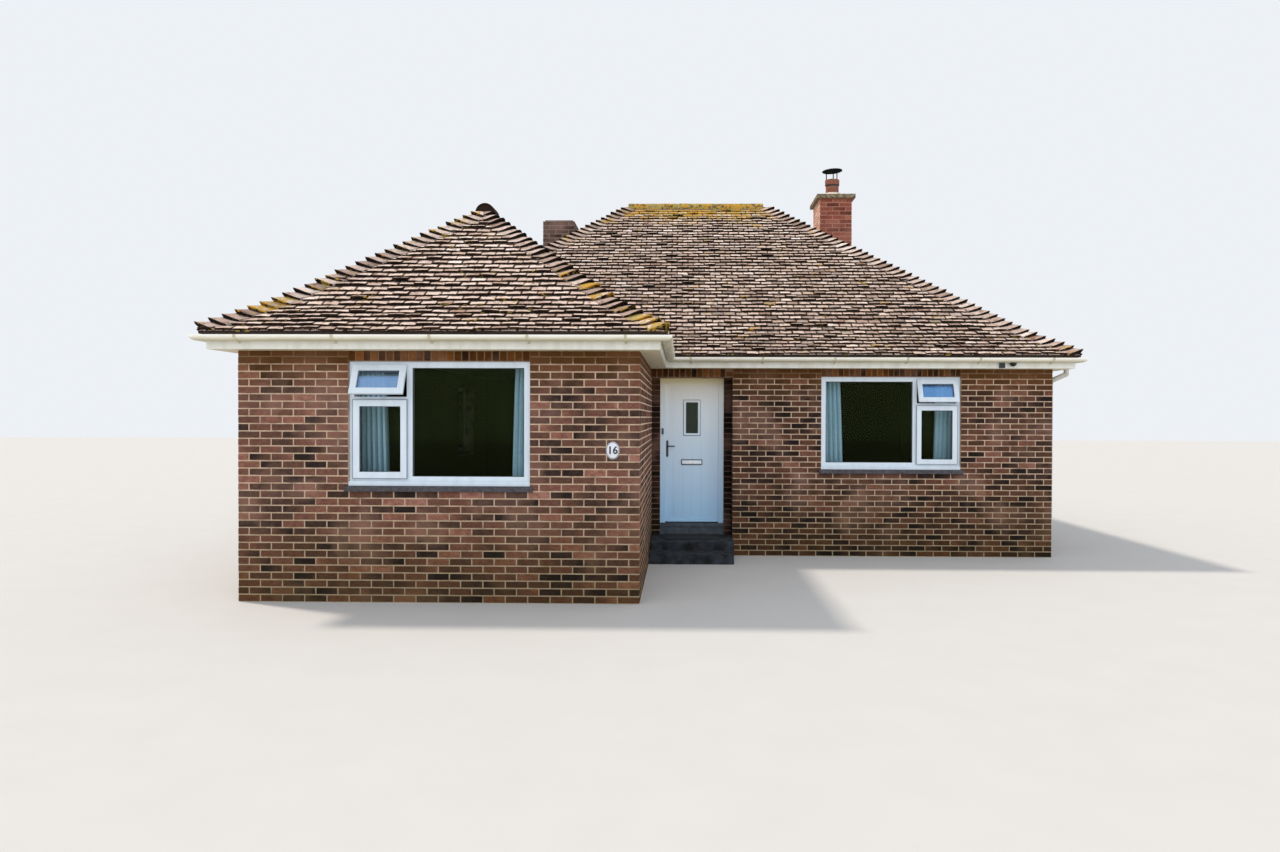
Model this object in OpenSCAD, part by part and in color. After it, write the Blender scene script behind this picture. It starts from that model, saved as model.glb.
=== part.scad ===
// Brick bungalow with an L-shaped hipped roof of plain tiles
// Millimetres, +Z up, ground at z = 0, origin at the middle of the plan, front towards -Y

/* [Plan] */
// Width of the whole house over the brick faces
house_w = 9450; // [8600:10:10600]
// Depth of the main block over the brick faces
main_depth = 7150; // [6400:10:8400]
// Width of the front wing
wing_w = 4050; // [3700:10:4500]
// How far the wing stands out in front of the main block
wing_out = 3070; // [2300:10:4000]
// Thickness of the brick cavity walls
wall_t = 275; // [230:5:330]
// Width of the entrance recess beside the wing
recess_w = 1110; // [1060:5:1300]
// Depth of the entrance recess behind the main front wall
recess_d = 330; // [120:5:420]

/* [Levels] */
// Underside of the soffit boards
soffit_z = 2533; // [2480:1:2600]
// Top of the walls and of the fascia boards
wall_top = 2680; // [2640:5:2760]
// Finished floor
floor_z = 400; // [300:5:450]
// Thickness of the floor
floor_t = 150; // [100:5:200]
// Thickness of the ceiling
ceiling_t = 60; // [40:5:100]
// Height of the window heads
head_z = 2430; // [2380:5:2460]
// Top of the window sills
sill_z = 1175; // [1000:5:1300]

/* [Roof] */
// Distance from the brick face to the fascia face
overhang = 210; // [170:5:260]
// Distance that the tiles reach past the fascia face
tile_over = 50; // [35:5:60]
// Height of the tile edge at the eaves
tile_edge = 30; // [20:2:40]
// Pitch of the main slopes
pitch = 37.7; // [34:0.1:42]
// Pitch of the bell-cast courses at the eaves
kick_pitch = 31; // [28:0.5:33]
// Gauge of the tile courses along the slope
gauge = 100; // [90:1:110]
// Number of courses in the bell-cast
kick_courses = 6; // [3:1:8]
// Thickness of the roof, measured upright
roof_t = 130; // [100:5:160]
// Width of the roof's seat on the wall top
plate_seat = 140; // [110:5:160]
// Thickness of the fascia boards
fascia_t = 20; // [12:1:25]
// Thickness of the soffit boards
soffit_t = 10; // [8:1:15]
// Radius of the ridge tiles
ridge_r = 120; // [100:2:130]
// Height of the ridge tiles' crown above the roof's apex
ridge_rise = 60; // [50:2:70]
// Length of one ridge tile
ridge_len = 300; // [280:5:450]
// Joint between ridge tiles
ridge_joint = 4; // [2:1:8]
// Lift of the wing ridge's end tile over the hips' heads
end_tile_lift = 75; // [0:5:90]
// Half width of a bonnet hip tile
bonnet_w = 150; // [130:5:160]
// Rise of a bonnet's crest above the hip
bonnet_rise = 42; // [30:2:55]
// Lift of a bonnet's tail over the course below
bonnet_lift = 14; // [8:1:18]
// Joint between bonnets
bonnet_joint = 3; // [2:1:5]

/* [Rainwater] */
// Outer radius of the half-round gutters
gutter_r = 58; // [55:1:60]
// Thickness of the gutters
gutter_t = 3; // [2:0.5:4]
// Height of the gutter rims
gutter_z = 2667; // [2655:1:2675]
// Spacing of the gutter brackets
bracket_step = 950; // [800:10:1100]
// Width of a gutter bracket
bracket_w = 28; // [20:1:35]
// Thickness of a gutter bracket
bracket_t = 5; // [4:0.5:6]
// Outer radius of the downpipes
pipe_r = 34; // [30:1:36]
// Wall of the downpipes
pipe_t = 3; // [2:0.5:4]
// Gap between a downpipe and the brick face
pipe_gap = 20; // [10:1:30]
// Drop of a downpipe's outlet below the gutter
pipe_outlet = 130; // [90:5:160]
// Level where a downpipe ends above the ground
pipe_end = 60; // [20:5:150]

/* [Windows] */
// Width of the wing window
wing_window_w = 1835; // [1600:5:2000]
// Distance from the wing's right corner to its window
wing_window_edge = 1102; // [900:2:1200]
// Width of the main window
main_window_w = 1877; // [1600:5:2000]
// Distance from the right-hand corner to the main window
main_window_edge = 1220; // [1000:2:1400]
// Width of the rear windows
rear_window_w = 1500; // [1200:10:1800]
// Width of the side windows
side_window_w = 1200; // [1100:10:1500]
// Face width of the window frames
frame_face = 65; // [58:1:80]
// Height of a fixed pane's frame at its foot
frame_foot = 94; // [85:1:100]
// Height of the plastic cill under a frame
cill_h = 47; // [35:1:55]
// Distance that the plastic cill stands out of its frame
cill_out = 28; // [15:1:33]
// Depth of the window frames
frame_d = 70; // [60:1:80]
// Setback of the frames from the brick face
setback = 35; // [20:1:60]
// Clear width of the opening light in its frame
light_w = 533; // [450:1:560]
// Distance of the opening light from the frame's side
light_side = 49; // [40:1:60]
// Distance of the fanlight from the frame's top
light_top = 46; // [40:1:60]
// Distance of the casement from the frame's foot
light_foot = 82; // [75:1:90]
// Width of the mullion
mullion = 58; // [45:1:80]
// Height of the transom
transom = 38; // [34:1:60]
// Clear height of the fanlight in its frame
fan_h = 311; // [260:1:330]
// Lap of a sash over its frame
sash_lap = 6; // [4:1:14]
// Face width of a sash
sash_face = 64; // [55:1:75]
// Thickness of a sash in front of its frame
sash_out = 24; // [18:1:28]
// Depth of a sash inside its frame
sash_in = 30; // [20:1:40]
// Clearance of a sash inside its frame
sash_gap = 4; // [3:0.5:6]
// Thickness of the glass units
glass_t = 24; // [20:1:28]
// Opening angle of the wing fanlight
wing_fan_angle = 23.5; // [15:0.5:35]
// Opening angle of the main fanlight
main_fan_angle = 20; // [15:0.5:35]
// Height of the sills
sill_h = 55; // [45:1:75]
// Projection of the sills from the brick face
sill_out = 40; // [25:1:60]
// Length of a sill's horns on each side of its opening
sill_horn = 30; // [15:1:50]

/* [Entrance] */
// Distance from the wing wall to the door frame
door_side = 115; // [105:1:140]
// Width of the door frame
door_w = 888; // [860:1:940]
// Height of the door frame's head and of the lintel over the recess
door_head = 2420; // [2380:2:2450]
// Face width of the door frame
door_face = 74; // [65:1:80]
// Depth of the door frame
door_frame_d = 70; // [66:1:90]
// Setback of the door frame from its wall face
door_setback = 30; // [15:1:50]
// Thickness of the door leaf
leaf_t = 44; // [40:1:48]
// Clearance round the door leaf
leaf_gap = 5; // [5:0.5:7]
// Lap of the frame's stop in front of the leaf
stop_lap = 10; // [8:1:14]
// Width of the glazed panel in the leaf
pane_w = 168; // [140:2:220]
// Height of the glazed panel in the leaf
pane_h = 432; // [380:2:520]
// Middle height of the glazed panel
pane_z = 1868; // [1840:2:1900]
// Face width of the glazed panel's frame
pane_face = 30; // [22:1:36]
// Height of the lever handles
lever_z = 1467; // [1440:2:1500]
// Backset of the lever spindle from the leaf's edge
lever_back = 36; // [32:1:50]
// Length of a lever
lever_len = 112; // [95:1:130]
// Height of the letter plate
letter_z = 1248; // [1200:2:1300]
// Width of the letter plate
letter_w = 292; // [260:2:310]
// Radius of the hinge pins
hinge_pin_r = 4; // [3.5:0.5:5]
// Clearance of the hinge pins
pin_clear = 0.06; // [0.05:0.01:0.1]
// Top of the upper step
step_top = 240; // [200:5:280]
// Tread in front of the main wall on the upper step
step_upper = 390; // [300:10:450]
// Top of the lower step
step_low = 132; // [100:2:150]
// Tread of the lower step
step_lower = 330; // [280:10:400]

/* [Chimneys] */
// Width of the stacks across the house
stack_w = 562; // [500:2:600]
// Depth of the stacks
stack_d = 787; // [700:2:850]
// Distance of the right stack's middle from the house's middle
right_stack_x = 2487; // [2200:1:2700]
// Distance of the left stack's middle from the house's middle
left_stack_x = 2487; // [2200:1:2700]
// Distance of the stacks' front face behind the ridge
stack_back = 260; // [180:5:350]
// Top of the right stack's brickwork
right_stack_top = 5805; // [5700:5:6000]
// Top of the left stack's brickwork
left_stack_top = 5400; // [5300:5:5600]
// Thickness of the cap slab
cap_t = 68; // [50:2:80]
// Overhang of the cap slab
cap_over = 60; // [40:2:80]
// Radius of the chimney pot
pot_r = 130; // [115:1:140]
// Height of the mortar flaunching round the pot
flaunch_h = 107; // [90:1:150]
// Height of the pot above the flaunching
pot_h = 250; // [220:5:300]
// Radius of the cowl
cowl_r = 182; // [160:2:200]
// Height of the cowl's legs
cowl_leg = 166; // [120:2:200]
// Tilt of the weathered cowl cover
cowl_tilt = 3; // [0:0.5:5]

/* [Hidden] */
eps = 1;
running = 0.3;

brick = [0.50, 0.30, 0.25];
red_brick = [0.55, 0.26, 0.20];
tile = [0.45, 0.37, 0.34];
white = [0.94, 0.95, 0.96];
cream = [0.88, 0.84, 0.74];
glass = [0.45, 0.55, 0.62, 0.45];
slate = [0.28, 0.29, 0.31];
stone = [0.55, 0.53, 0.50];
dark = [0.10, 0.10, 0.11];

x_left = -house_w / 2;
x_right = house_w / 2;
x_wing = x_left + wing_w;
x_recess = x_wing + recess_w;
total_d = main_depth + wing_out;
y_front = -total_d / 2;
y_main = y_front + wing_out;
y_rear = total_d / 2;
y_door = y_main + recess_d;

reach = overhang + tile_over;
kick_run = kick_courses * gauge * cos(kick_pitch);
kick_rise = kick_run * tan(kick_pitch);
eave_z = wall_top + tile_edge;
main_half = main_depth / 2 + reach;
wing_half = wing_w / 2 + reach;
ridge_y = (y_main + y_rear) / 2;
ridge_x = house_w / 2 + reach - main_half;
wing_ridge_x = x_left + wing_w / 2;
wing_apex_y = y_front - reach + wing_half;
wing_meet_y = y_main - reach + wing_half;

// Height of the roof's surface at a level distance from the tile edge
function roof_z(run) = run < kick_run
    ? eave_z + run * tan(kick_pitch)
    : eave_z + kick_rise + (run - kick_run) * tan(pitch);

// Level distance from the tile edge to the foot of a course
function course_run(i) = i <= kick_courses
    ? i * gauge * cos(kick_pitch)
    : kick_run + (i - kick_courses) * gauge * cos(pitch);

// Outline of the house, moved outwards by d
function outline(d) = [
    [x_left - d, y_front - d], [x_wing + d, y_front - d], [x_wing + d, y_main - d],
    [x_right + d, y_main - d], [x_right + d, y_rear + d], [x_left - d, y_rear + d]
];

// Inside of the walls
function interior() = [
    [x_left + wall_t, y_front + wall_t], [x_wing - wall_t, y_front + wall_t],
    [x_wing - wall_t, y_door + wall_t], [x_recess + wall_t, y_door + wall_t],
    [x_recess + wall_t, y_main + wall_t], [x_right - wall_t, y_main + wall_t],
    [x_right - wall_t, y_rear - wall_t], [x_left + wall_t, y_rear - wall_t]
];

// Puts a window or wall, drawn along +X with +Y inwards, on one side of the house
module on_side(side) {
    if (side == "wing") translate([x_left, y_front, 0]) children();
    if (side == "front") translate([x_recess, y_main, 0]) children();
    if (side == "right") translate([x_right, y_main, 0]) rotate([0, 0, 90]) children();
    if (side == "rear") translate([x_right, y_rear, 0]) rotate([0, 0, 180]) children();
    if (side == "left") translate([x_left, y_rear, 0]) rotate([0, 0, -90]) children();
}

window_h = head_z - sill_z;
wing_window_x = wing_w - wing_window_edge - wing_window_w;
main_window_x = x_right - x_recess - main_window_edge - main_window_w;
right_window_x = [main_depth / 2 - side_window_w / 2];
left_window_x = [
    main_depth * 0.3 - side_window_w / 2,
    main_depth + wing_out / 2 - side_window_w / 2
];
rear_window_x = [house_w * 0.25 - rear_window_w / 2, house_w * 0.72 - rear_window_w / 2];

// Brick wall along +X from one end to the other, with window openings
module wall(from, to, openings = [], w = 0) {
    difference() {
        translate([from, 0, 0]) cube([to - from, wall_t, wall_top]);
        for (x = openings)
            translate([x, -eps, sill_z - sill_h])
                cube([w, wall_t + 2 * eps, window_h + sill_h]);
    }
}

module wing_front_wall() {
    color(brick) on_side("wing") wall(0, wing_w, [wing_window_x], wing_window_w);
}

module wing_right_wall() {
    color(brick)
        translate([x_wing - wall_t, y_front + wall_t, 0])
            cube([wall_t, wing_out + recess_d, wall_top]);
}

module left_wall() {
    color(brick) on_side("left")
        wall(wall_t, total_d - wall_t, left_window_x, side_window_w);
}

module rear_wall() {
    color(brick) on_side("rear") wall(0, house_w, rear_window_x, rear_window_w);
}

module right_wall() {
    color(brick) on_side("right")
        wall(wall_t, main_depth - wall_t, right_window_x, side_window_w);
}

module main_front_wall() {
    color(brick) on_side("front")
        wall(0, x_right - x_recess, [main_window_x], main_window_w);
}

module porch_return_wall() {
    color(brick)
        translate([x_recess, y_main + wall_t, 0]) cube([wall_t, recess_d, wall_top]);
}

door_x0 = x_wing + door_side;
door_x1 = door_x0 + door_w;

// Brick strips beside the door frame, up to the lintel
module door_side_walls() {
    color(brick) {
        translate([x_wing, y_door, 0]) cube([door_side, wall_t, door_head]);
        translate([door_x1, y_door, 0]) cube([x_recess - door_x1, wall_t, door_head]);
    }
}

// Lintel and brickwork that span the recess in line with the main wall
module wall_over_door() {
    color(brick)
        translate([x_wing, y_main, door_head])
            cube([recess_w, wall_t + recess_d, wall_top - door_head]);
}

module floor_slab() {
    color(stone)
        translate([0, 0, floor_z - floor_t]) linear_extrude(floor_t) polygon(interior());
}

module ceiling() {
    color(white)
        translate([0, 0, wall_top]) linear_extrude(ceiling_t) polygon(outline(-plate_seat));
}

// Half of a roof section from the tile edge to the middle, mirrored about its middle
module roof_section(half, inset, drop) {
    base = wall_top;
    first = max(inset, 0);
    polygon([
        [-half + first, base - (drop > 0 ? eps : 0)],
        [-half + first, roof_z(first) - drop],
        if (first < kick_run) [-half + kick_run, roof_z(kick_run) - drop],
        [0, roof_z(half) - drop],
        if (first < kick_run) [half - kick_run, roof_z(kick_run) - drop],
        [half - first, roof_z(first) - drop],
        [half - first, base - (drop > 0 ? eps : 0)]
    ]);
}

// Hipped form of the main block: the section along X meets the section along Y
module main_form(inset = 0, drop = 0) {
    length = house_w + 2 * reach;
    depth = main_depth + 2 * reach;
    run = main_half;
    intersection() {
        translate([-length / 2, ridge_y, 0])
            rotate([90, 0, 90]) linear_extrude(length) roof_section(run, inset, drop);
        translate([0, ridge_y + depth / 2, 0])
            rotate([90, 0, 0])
                linear_extrude(depth)
                    hip_section(length / 2, run, inset, drop);
    }
}

// Section along a ridge: both hipped ends and the level between them
module hip_section(half, run, inset, drop) {
    base = wall_top - (drop > 0 ? eps : 0);
    polygon([
        [-half + inset, base],
        [-half + inset, roof_z(inset) - drop],
        if (inset < kick_run) [-half + kick_run, roof_z(kick_run) - drop],
        [-half + run, roof_z(run) - drop],
        [half - run, roof_z(run) - drop],
        if (inset < kick_run) [half - kick_run, roof_z(kick_run) - drop],
        [half - inset, roof_z(inset) - drop],
        [half - inset, base]
    ]);
}

// Form of the wing: one hipped end in front, running back into the main slopes
module wing_form(inset = 0, drop = 0) {
    length = wing_meet_y - (y_front - reach);
    base = wall_top - (drop > 0 ? eps : 0);
    intersection() {
        translate([wing_ridge_x, wing_meet_y, 0])
            rotate([90, 0, 0]) linear_extrude(length) roof_section(wing_half, inset, drop);
        translate([wing_ridge_x - wing_half, y_front - reach, 0])
            rotate([90, 0, 90])
                linear_extrude(2 * wing_half)
                    polygon([
                        [inset, base],
                        [inset, roof_z(inset) - drop],
                        [kick_run, roof_z(kick_run) - drop],
                        [wing_half, roof_z(wing_half) - drop],
                        [length + eps, roof_z(wing_half) - drop],
                        [length + eps, base]
                    ]);
    }
}

// Lofts under both forms, open to each other
module lofts() {
    main_form(reach + plate_seat, roof_t);
    wing_form(reach + plate_seat, roof_t);
}

stack_y = ridge_y + stack_back;

// Upright shaft of a chimney, with the clearance that the roof leaves round it
module stack_shaft(x, top, gap = 0) {
    translate([x - stack_w / 2 - gap, stack_y - gap, wall_top + ceiling_t])
        cube([stack_w + 2 * gap, stack_d + 2 * gap, top - wall_top - ceiling_t]);
}

module main_roof() {
    color(tile) difference() {
        main_form();
        lofts();
        stack_shaft(right_stack_x, right_stack_top);
        stack_shaft(-left_stack_x, left_stack_top);
    }
}

// The wing's slopes end in the valley on the main slopes
module wing_roof() {
    color(tile) difference() {
        wing_form();
        main_form();
        lofts();
    }
}

// Section of a ridge tile on its mortar bed, seated on both slopes
module ridge_section(lift = 0) {
    fall = tan(pitch);
    bed = ridge_r - 20;
    difference() {
        union() {
            translate([0, lift + ridge_rise - ridge_r])
                intersection() {
                    circle(ridge_r, $fn = 48);
                    translate([-ridge_r, 0]) square([2 * ridge_r, ridge_r]);
                }
            translate([-bed, -ridge_r]) square([2 * bed, lift + ridge_rise]);
        }
        polygon([[-2 * ridge_r, -2 * ridge_r * fall], [0, 0], [2 * ridge_r, -2 * ridge_r * fall]]);
    }
}

// Row of ridge tiles from a start along a direction, its first tile lifted
module ridge_row(start, angle, length, lift = 0) {
    count = ceil(length / (ridge_len + ridge_joint));
    step = length / count;
    translate(start) rotate([0, 0, angle])
        for (i = [0 : count - 1])
            translate([i * step, 0, 0])
                rotate([90, 0, 90])
                    linear_extrude(step - ridge_joint) ridge_section(i == 0 ? lift : 0);
}

module ridge_tiles() {
    color(tile) {
        ridge_row([-ridge_x, ridge_y, roof_z(main_half)], 0, 2 * ridge_x);
        ridge_row([wing_ridge_x, wing_apex_y, roof_z(wing_half)], 90,
            wing_meet_y - wing_apex_y - ridge_r, end_tile_lift);
    }
}

// Section of a bonnet across the hip, for slopes that fall by k to each side
module bonnet_section(k) {
    soft = 30;
    edge = 5;
    n = 8;
    function crest(y) = edge + k * (soft - sqrt(y * y + soft * soft))
        + bonnet_rise * (1 + cos(180 * y / bonnet_w)) / 2;
    polygon(concat(
        [for (i = [0 : n]) let (y = bonnet_w * (1 - 2 * i / n)) [y, crest(y)]],
        [[-bonnet_w, -k * bonnet_w + 0.3], [0, 0.3], [bonnet_w, -k * bonnet_w + 0.3]]
    ));
}

// Bonnet of one course on a hip, from the hip's corner at the eaves
module bonnet(corner, dir, i) {
    a = course_run(i);
    b = course_run(i + 1);
    level = (b - a) * sqrt(2);
    rise = roof_z(b) - roof_z(a);
    length = sqrt(level * level + rise * rise);
    lean = atan2(rise, level);
    translate([corner.x + a * dir.x, corner.y + a * dir.y, roof_z(a)])
        rotate([0, 0, atan2(dir.y, dir.x)])
            rotate([0, -lean, 0])
                translate([length, 0, 0])
                    rotate([0, atan2(bonnet_lift, length), 0])
                        translate([-length + bonnet_joint, 0, 0])
                            rotate([90, 0, 90])
                                linear_extrude(length - bonnet_joint)
                                    bonnet_section(rise / level * cos(lean));
}

// Row of bonnets up a hip; the first above the bell-cast is cut to the flatter slopes
module hip_row(corner, dir, first, last) {
    for (i = [first : last - 1])
        if (i == kick_courses)
            difference() {
                bonnet(corner, dir, i);
                main_form();
                wing_form();
            }
        else
            bonnet(corner, dir, i);
}

main_courses = kick_courses + floor((main_half - kick_run) / (gauge * cos(pitch)));
wing_courses = kick_courses + floor((wing_half - kick_run) / (gauge * cos(pitch)));

// Bonnets near the head of a hip, cut to butt against the ridge and the stacks
module hip_head(corner, dir, first, last) {
    difference() {
        hip_row(corner, dir, first, last);
        ridge_tiles();
        stack_shaft(right_stack_x, right_stack_top, running);
        stack_shaft(-left_stack_x, left_stack_top, running);
    }
}

head_courses = 22;

module hip_tiles() {
    wing_corners = [[x_left - reach, y_front - reach], [x_wing + reach, y_front - reach]];
    main_corners = [
        [x_right + reach, y_main - reach], [x_right + reach, y_rear + reach],
        [x_left - reach, y_rear + reach]
    ];
    main_dirs = [[-1, 1], [-1, -1], [1, -1]];
    color(tile) {
        for (i = [0 : 1]) {
            dir = [1 - 2 * i, 1];
            hip_row(wing_corners[i], dir, 0, wing_courses - 4);
            hip_head(wing_corners[i], dir, wing_courses - 4, wing_courses);
        }
        for (i = [0 : 2]) {
            hip_row(main_corners[i], main_dirs[i], 0, main_courses - head_courses);
            hip_head(main_corners[i], main_dirs[i], main_courses - head_courses, main_courses);
        }
        hip_head([x_left - reach, y_main - reach], [1, 1], wing_courses + 2, main_courses);
    }
}

module soffit_boards() {
    color(cream)
        translate([0, 0, soffit_z])
            linear_extrude(soffit_t)
                difference() {
                    polygon(outline(overhang - fascia_t));
                    polygon(outline(0));
                }
}

module fascia_boards() {
    color(white)
        translate([0, 0, soffit_z])
            linear_extrude(wall_top - soffit_z)
                difference() {
                    polygon(outline(overhang));
                    polygon(outline(overhang - fascia_t));
                }
}

// Half ring of the gutter, its rim at z = 0 and its back on the fascia at y = 0
module gutter_section(outer, inner) {
    translate([-gutter_r, 0])
        difference() {
            circle(outer, $fn = 48);
            circle(inner, $fn = 48);
            translate([-2 * outer, 0]) square([4 * outer, 2 * outer]);
        }
}

// Gutter along one side of the outline, mitred at both corners
module gutter_run(i) {
    near = outline(overhang);
    far = outline(overhang + 2 * gutter_r + eps);
    j = (i + 1) % len(near);
    length = norm(near[j] - near[i]);
    way = near[j] - near[i];
    intersection() {
        translate([near[i].x, near[i].y, gutter_z])
            rotate([0, 0, atan2(way.y, way.x)])
                translate([-2 * gutter_r - eps, 0, 0])
                    rotate([90, 0, 90])
                        linear_extrude(length + 4 * gutter_r + 2 * eps)
                            gutter_section(gutter_r, gutter_r - gutter_t);
        translate([0, 0, gutter_z - gutter_r - eps])
            linear_extrude(gutter_r + 2 * eps)
                polygon([near[i], near[j], far[j], far[i]]);
    }
}

module wing_gutter() {
    color(white) {
        gutter_run(0);
        gutter_run(1);
    }
}

module main_gutter() {
    color(white) gutter_run(2);
}

module rear_gutters() {
    color(white) {
        gutter_run(3);
        gutter_run(4);
        gutter_run(5);
    }
}

// Brackets along one side, each a ring under the gutter with a back plate
module bracket_run(i) {
    near = outline(overhang);
    j = (i + 1) % len(near);
    way = near[j] - near[i];
    length = norm(way);
    margin = 3 * gutter_r;
    count = floor((length - 2 * margin) / bracket_step) + 1;
    start = (length - (count - 1) * bracket_step) / 2;
    translate([near[i].x, near[i].y, gutter_z])
        rotate([0, 0, atan2(way.y, way.x)])
            for (k = [0 : count - 1])
                translate([start + k * bracket_step - bracket_w / 2, 0, 0])
                    rotate([90, 0, 90])
                        linear_extrude(bracket_w) {
                            gutter_section(gutter_r + bracket_t, gutter_r);
                            difference() {
                                translate([-bracket_t, -1.4 * gutter_r])
                                    square([bracket_t, 1.3 * gutter_r]);
                                translate([-gutter_r, 0]) circle(gutter_r, $fn = 48);
                            }
                        }
}

module gutter_brackets() {
    color(white) for (i = [0 : 5]) intersection() {
        bracket_run(i);
        translate([0, 0, soffit_z])
            linear_extrude(wall_top - soffit_z)
                difference() {
                    polygon(outline(overhang + 3 * gutter_r));
                    polygon(outline(overhang));
                }
    }
}

// Straight pipe between two points of one upright plane
module pipe(a, b) {
    way = b - a;
    translate(a)
        rotate([0, 90 - asin(way.z / norm(way)), atan2(way.y, way.x)])
            difference() {
                cylinder(h = norm(way), r = pipe_r, $fn = 32);
                translate([0, 0, -eps])
                    cylinder(h = norm(way) + 2 * eps, r = pipe_r - pipe_t, $fn = 32);
            }
}

// Downpipe drawn at the origin: outlet below a gutter, offset and drop; the wall is at x = 0
module downpipe_form() {
    x_out = overhang + gutter_r;
    x_in = pipe_gap + pipe_r;
    shift = x_out - x_in;
    z_top = gutter_z - gutter_r;
    z_bend = z_top - pipe_outlet;
    z_wall = z_bend - shift * 0.45;
    difference() {
        union() {
            translate([x_out, 0, z_bend]) cylinder(h = z_top - z_bend, r = pipe_r, $fn = 32);
            hull() {
                translate([x_out, 0, z_bend]) sphere(pipe_r, $fn = 24);
                translate([x_in, 0, z_wall]) sphere(pipe_r, $fn = 24);
            }
            translate([x_in, 0, pipe_end]) cylinder(h = z_wall - pipe_end, r = pipe_r, $fn = 32);
            for (z = [0.2, 0.78]) translate([0, 0, z_wall * z])
                translate([0, -pipe_r - 12, 0]) cube([x_in, 2 * pipe_r + 24, 40]);
        }
        translate([x_in, 0, pipe_end - eps])
            cylinder(h = z_wall - pipe_end, r = pipe_r - pipe_t, $fn = 32);
    }
}

module downpipes() {
    color(white) {
        translate([x_right, y_main + 190, 0]) downpipe_form();
        translate([x_left, y_rear - 190, 0]) rotate([0, 0, 180]) downpipe_form();
    }
}

module right_chimney() {
    color(red_brick) stack_shaft(right_stack_x, right_stack_top);
}

module left_chimney() {
    color(brick) stack_shaft(-left_stack_x, left_stack_top);
    color(stone)
        translate([-left_stack_x, stack_y + stack_d / 2, left_stack_top])
            linear_extrude(25)
                square([stack_w - 60, stack_d - 60], center = true);
}

module at_right_stack(z) {
    translate([right_stack_x, stack_y + stack_d / 2, z]) children();
}

module chimney_cap() {
    color(stone) at_right_stack(right_stack_top) {
        linear_extrude(cap_t)
            square([stack_w + 2 * cap_over, stack_d + 2 * cap_over], center = true);
        translate([0, 0, cap_t])
            cylinder(h = flaunch_h, r1 = stack_w / 2, r2 = pot_r + 25, $fn = 48);
    }
}

module chimney_pot() {
    collar_lap = 13;
    collar_h = pot_h * 0.37;
    wall = 20;
    floor_t = 25;
    color([0.62, 0.34, 0.26]) at_right_stack(right_stack_top + cap_t + flaunch_h)
        rotate_extrude($fn = 48)
            difference() {
                union() {
                    square([pot_r - collar_lap, pot_h]);
                    translate([0, pot_h - collar_h]) square([pot_r, collar_h]);
                }
                translate([-eps, floor_t]) square([pot_r - collar_lap - wall, pot_h]);
            }
}

module chimney_cowl() {
    leg_r = 9;
    leg_ring = pot_r - 18;
    rim = 8;
    crown = 38;
    color(dark) at_right_stack(right_stack_top + cap_t + flaunch_h + pot_h) {
        for (a = [30 : 120 : 270])
            rotate([0, 0, a])
                translate([leg_ring, 0, 0]) cylinder(h = cowl_leg + rim, r = leg_r, $fn = 16);
        translate([0, 0, cowl_leg])
            rotate([0, -cowl_tilt, 0])
                rotate_extrude($fn = 48)
                    polygon([
                        [0, 0], [cowl_r, 0], [cowl_r, rim],
                        [cowl_r * 0.55, crown * 0.75], [0, crown]
                    ]);
    }
}

// Clear openings of a window, as [x, z, width, height], inside its own width w
function fixed_hole(w, hinge) = [
    hinge == "left" ? light_side + light_w + mullion : frame_face, frame_foot,
    w - frame_face - light_side - light_w - mullion, window_h - frame_face - frame_foot
];
function light_x(w, hinge) = hinge == "left" ? light_side : w - light_side - light_w;
function casement_hole(w, hinge) = [
    light_x(w, hinge), light_foot, light_w,
    window_h - light_top - fan_h - transom - light_foot
];
function fan_hole(w, hinge) = [
    light_x(w, hinge), window_h - light_top - fan_h, light_w, fan_h
];

// Block for one clear opening, given its depth range
module hole_block(h, y0, y1, grow = 0) {
    translate([h[0] - grow, y0, h[1] - grow])
        cube([h[2] + 2 * grow, y1 - y0, h[3] + 2 * grow]);
}

// Fixed frame with its mullion, transom and cill, front face at y = 0
module window_frame(w, hinge) {
    difference() {
        union() {
            cube([w, frame_d, window_h]);
            translate([0, -cill_out, 0]) cube([w, cill_out + frame_d / 2, cill_h]);
        }
        for (h = [fixed_hole(w, hinge), casement_hole(w, hinge), fan_hole(w, hinge)])
            hole_block(h, -eps, frame_d + eps);
    }
}

// Sash of one opening light, closed
module sash(h) {
    pane = sash_face - sash_lap;
    difference() {
        union() {
            hole_block(h, -sash_out, 0, sash_lap);
            hole_block(h, 0, sash_in, -sash_gap);
        }
        hole_block(h, -sash_out - eps, sash_in + eps, -pane);
    }
}

// Swings a fanlight out about the top edge of its sash
module swung(h, angle) {
    top = h[1] + h[3] + sash_lap;
    translate([0, 0, top]) rotate([-angle, 0, 0]) translate([0, 0, -top]) children();
}

module window_sash_pair(w, hinge, angle) {
    sash(casement_hole(w, hinge));
    swung(fan_hole(w, hinge), angle) sash(fan_hole(w, hinge));
}

module window_panes(w, hinge, angle) {
    pane = sash_face - sash_lap;
    hole_block(fixed_hole(w, hinge), 20, 20 + glass_t);
    hole_block(casement_hole(w, hinge), 0, glass_t, -pane);
    swung(fan_hole(w, hinge), angle) hole_block(fan_hole(w, hinge), 0, glass_t, -pane);
}

module on_wing_window() {
    on_side("wing") translate([wing_window_x, setback, sill_z]) children();
}

module on_main_window() {
    on_side("front") translate([main_window_x, setback, sill_z]) children();
}

module on_side_windows() {
    for (x = right_window_x) on_side("right") translate([x, setback, sill_z]) children(0);
    for (x = left_window_x) on_side("left") translate([x, setback, sill_z]) children(0);
    for (x = rear_window_x) on_side("rear") translate([x, setback, sill_z]) children(1);
}

module front_window_frames() {
    color(white) {
        on_wing_window() window_frame(wing_window_w, "left");
        on_main_window() window_frame(main_window_w, "right");
    }
}

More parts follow.
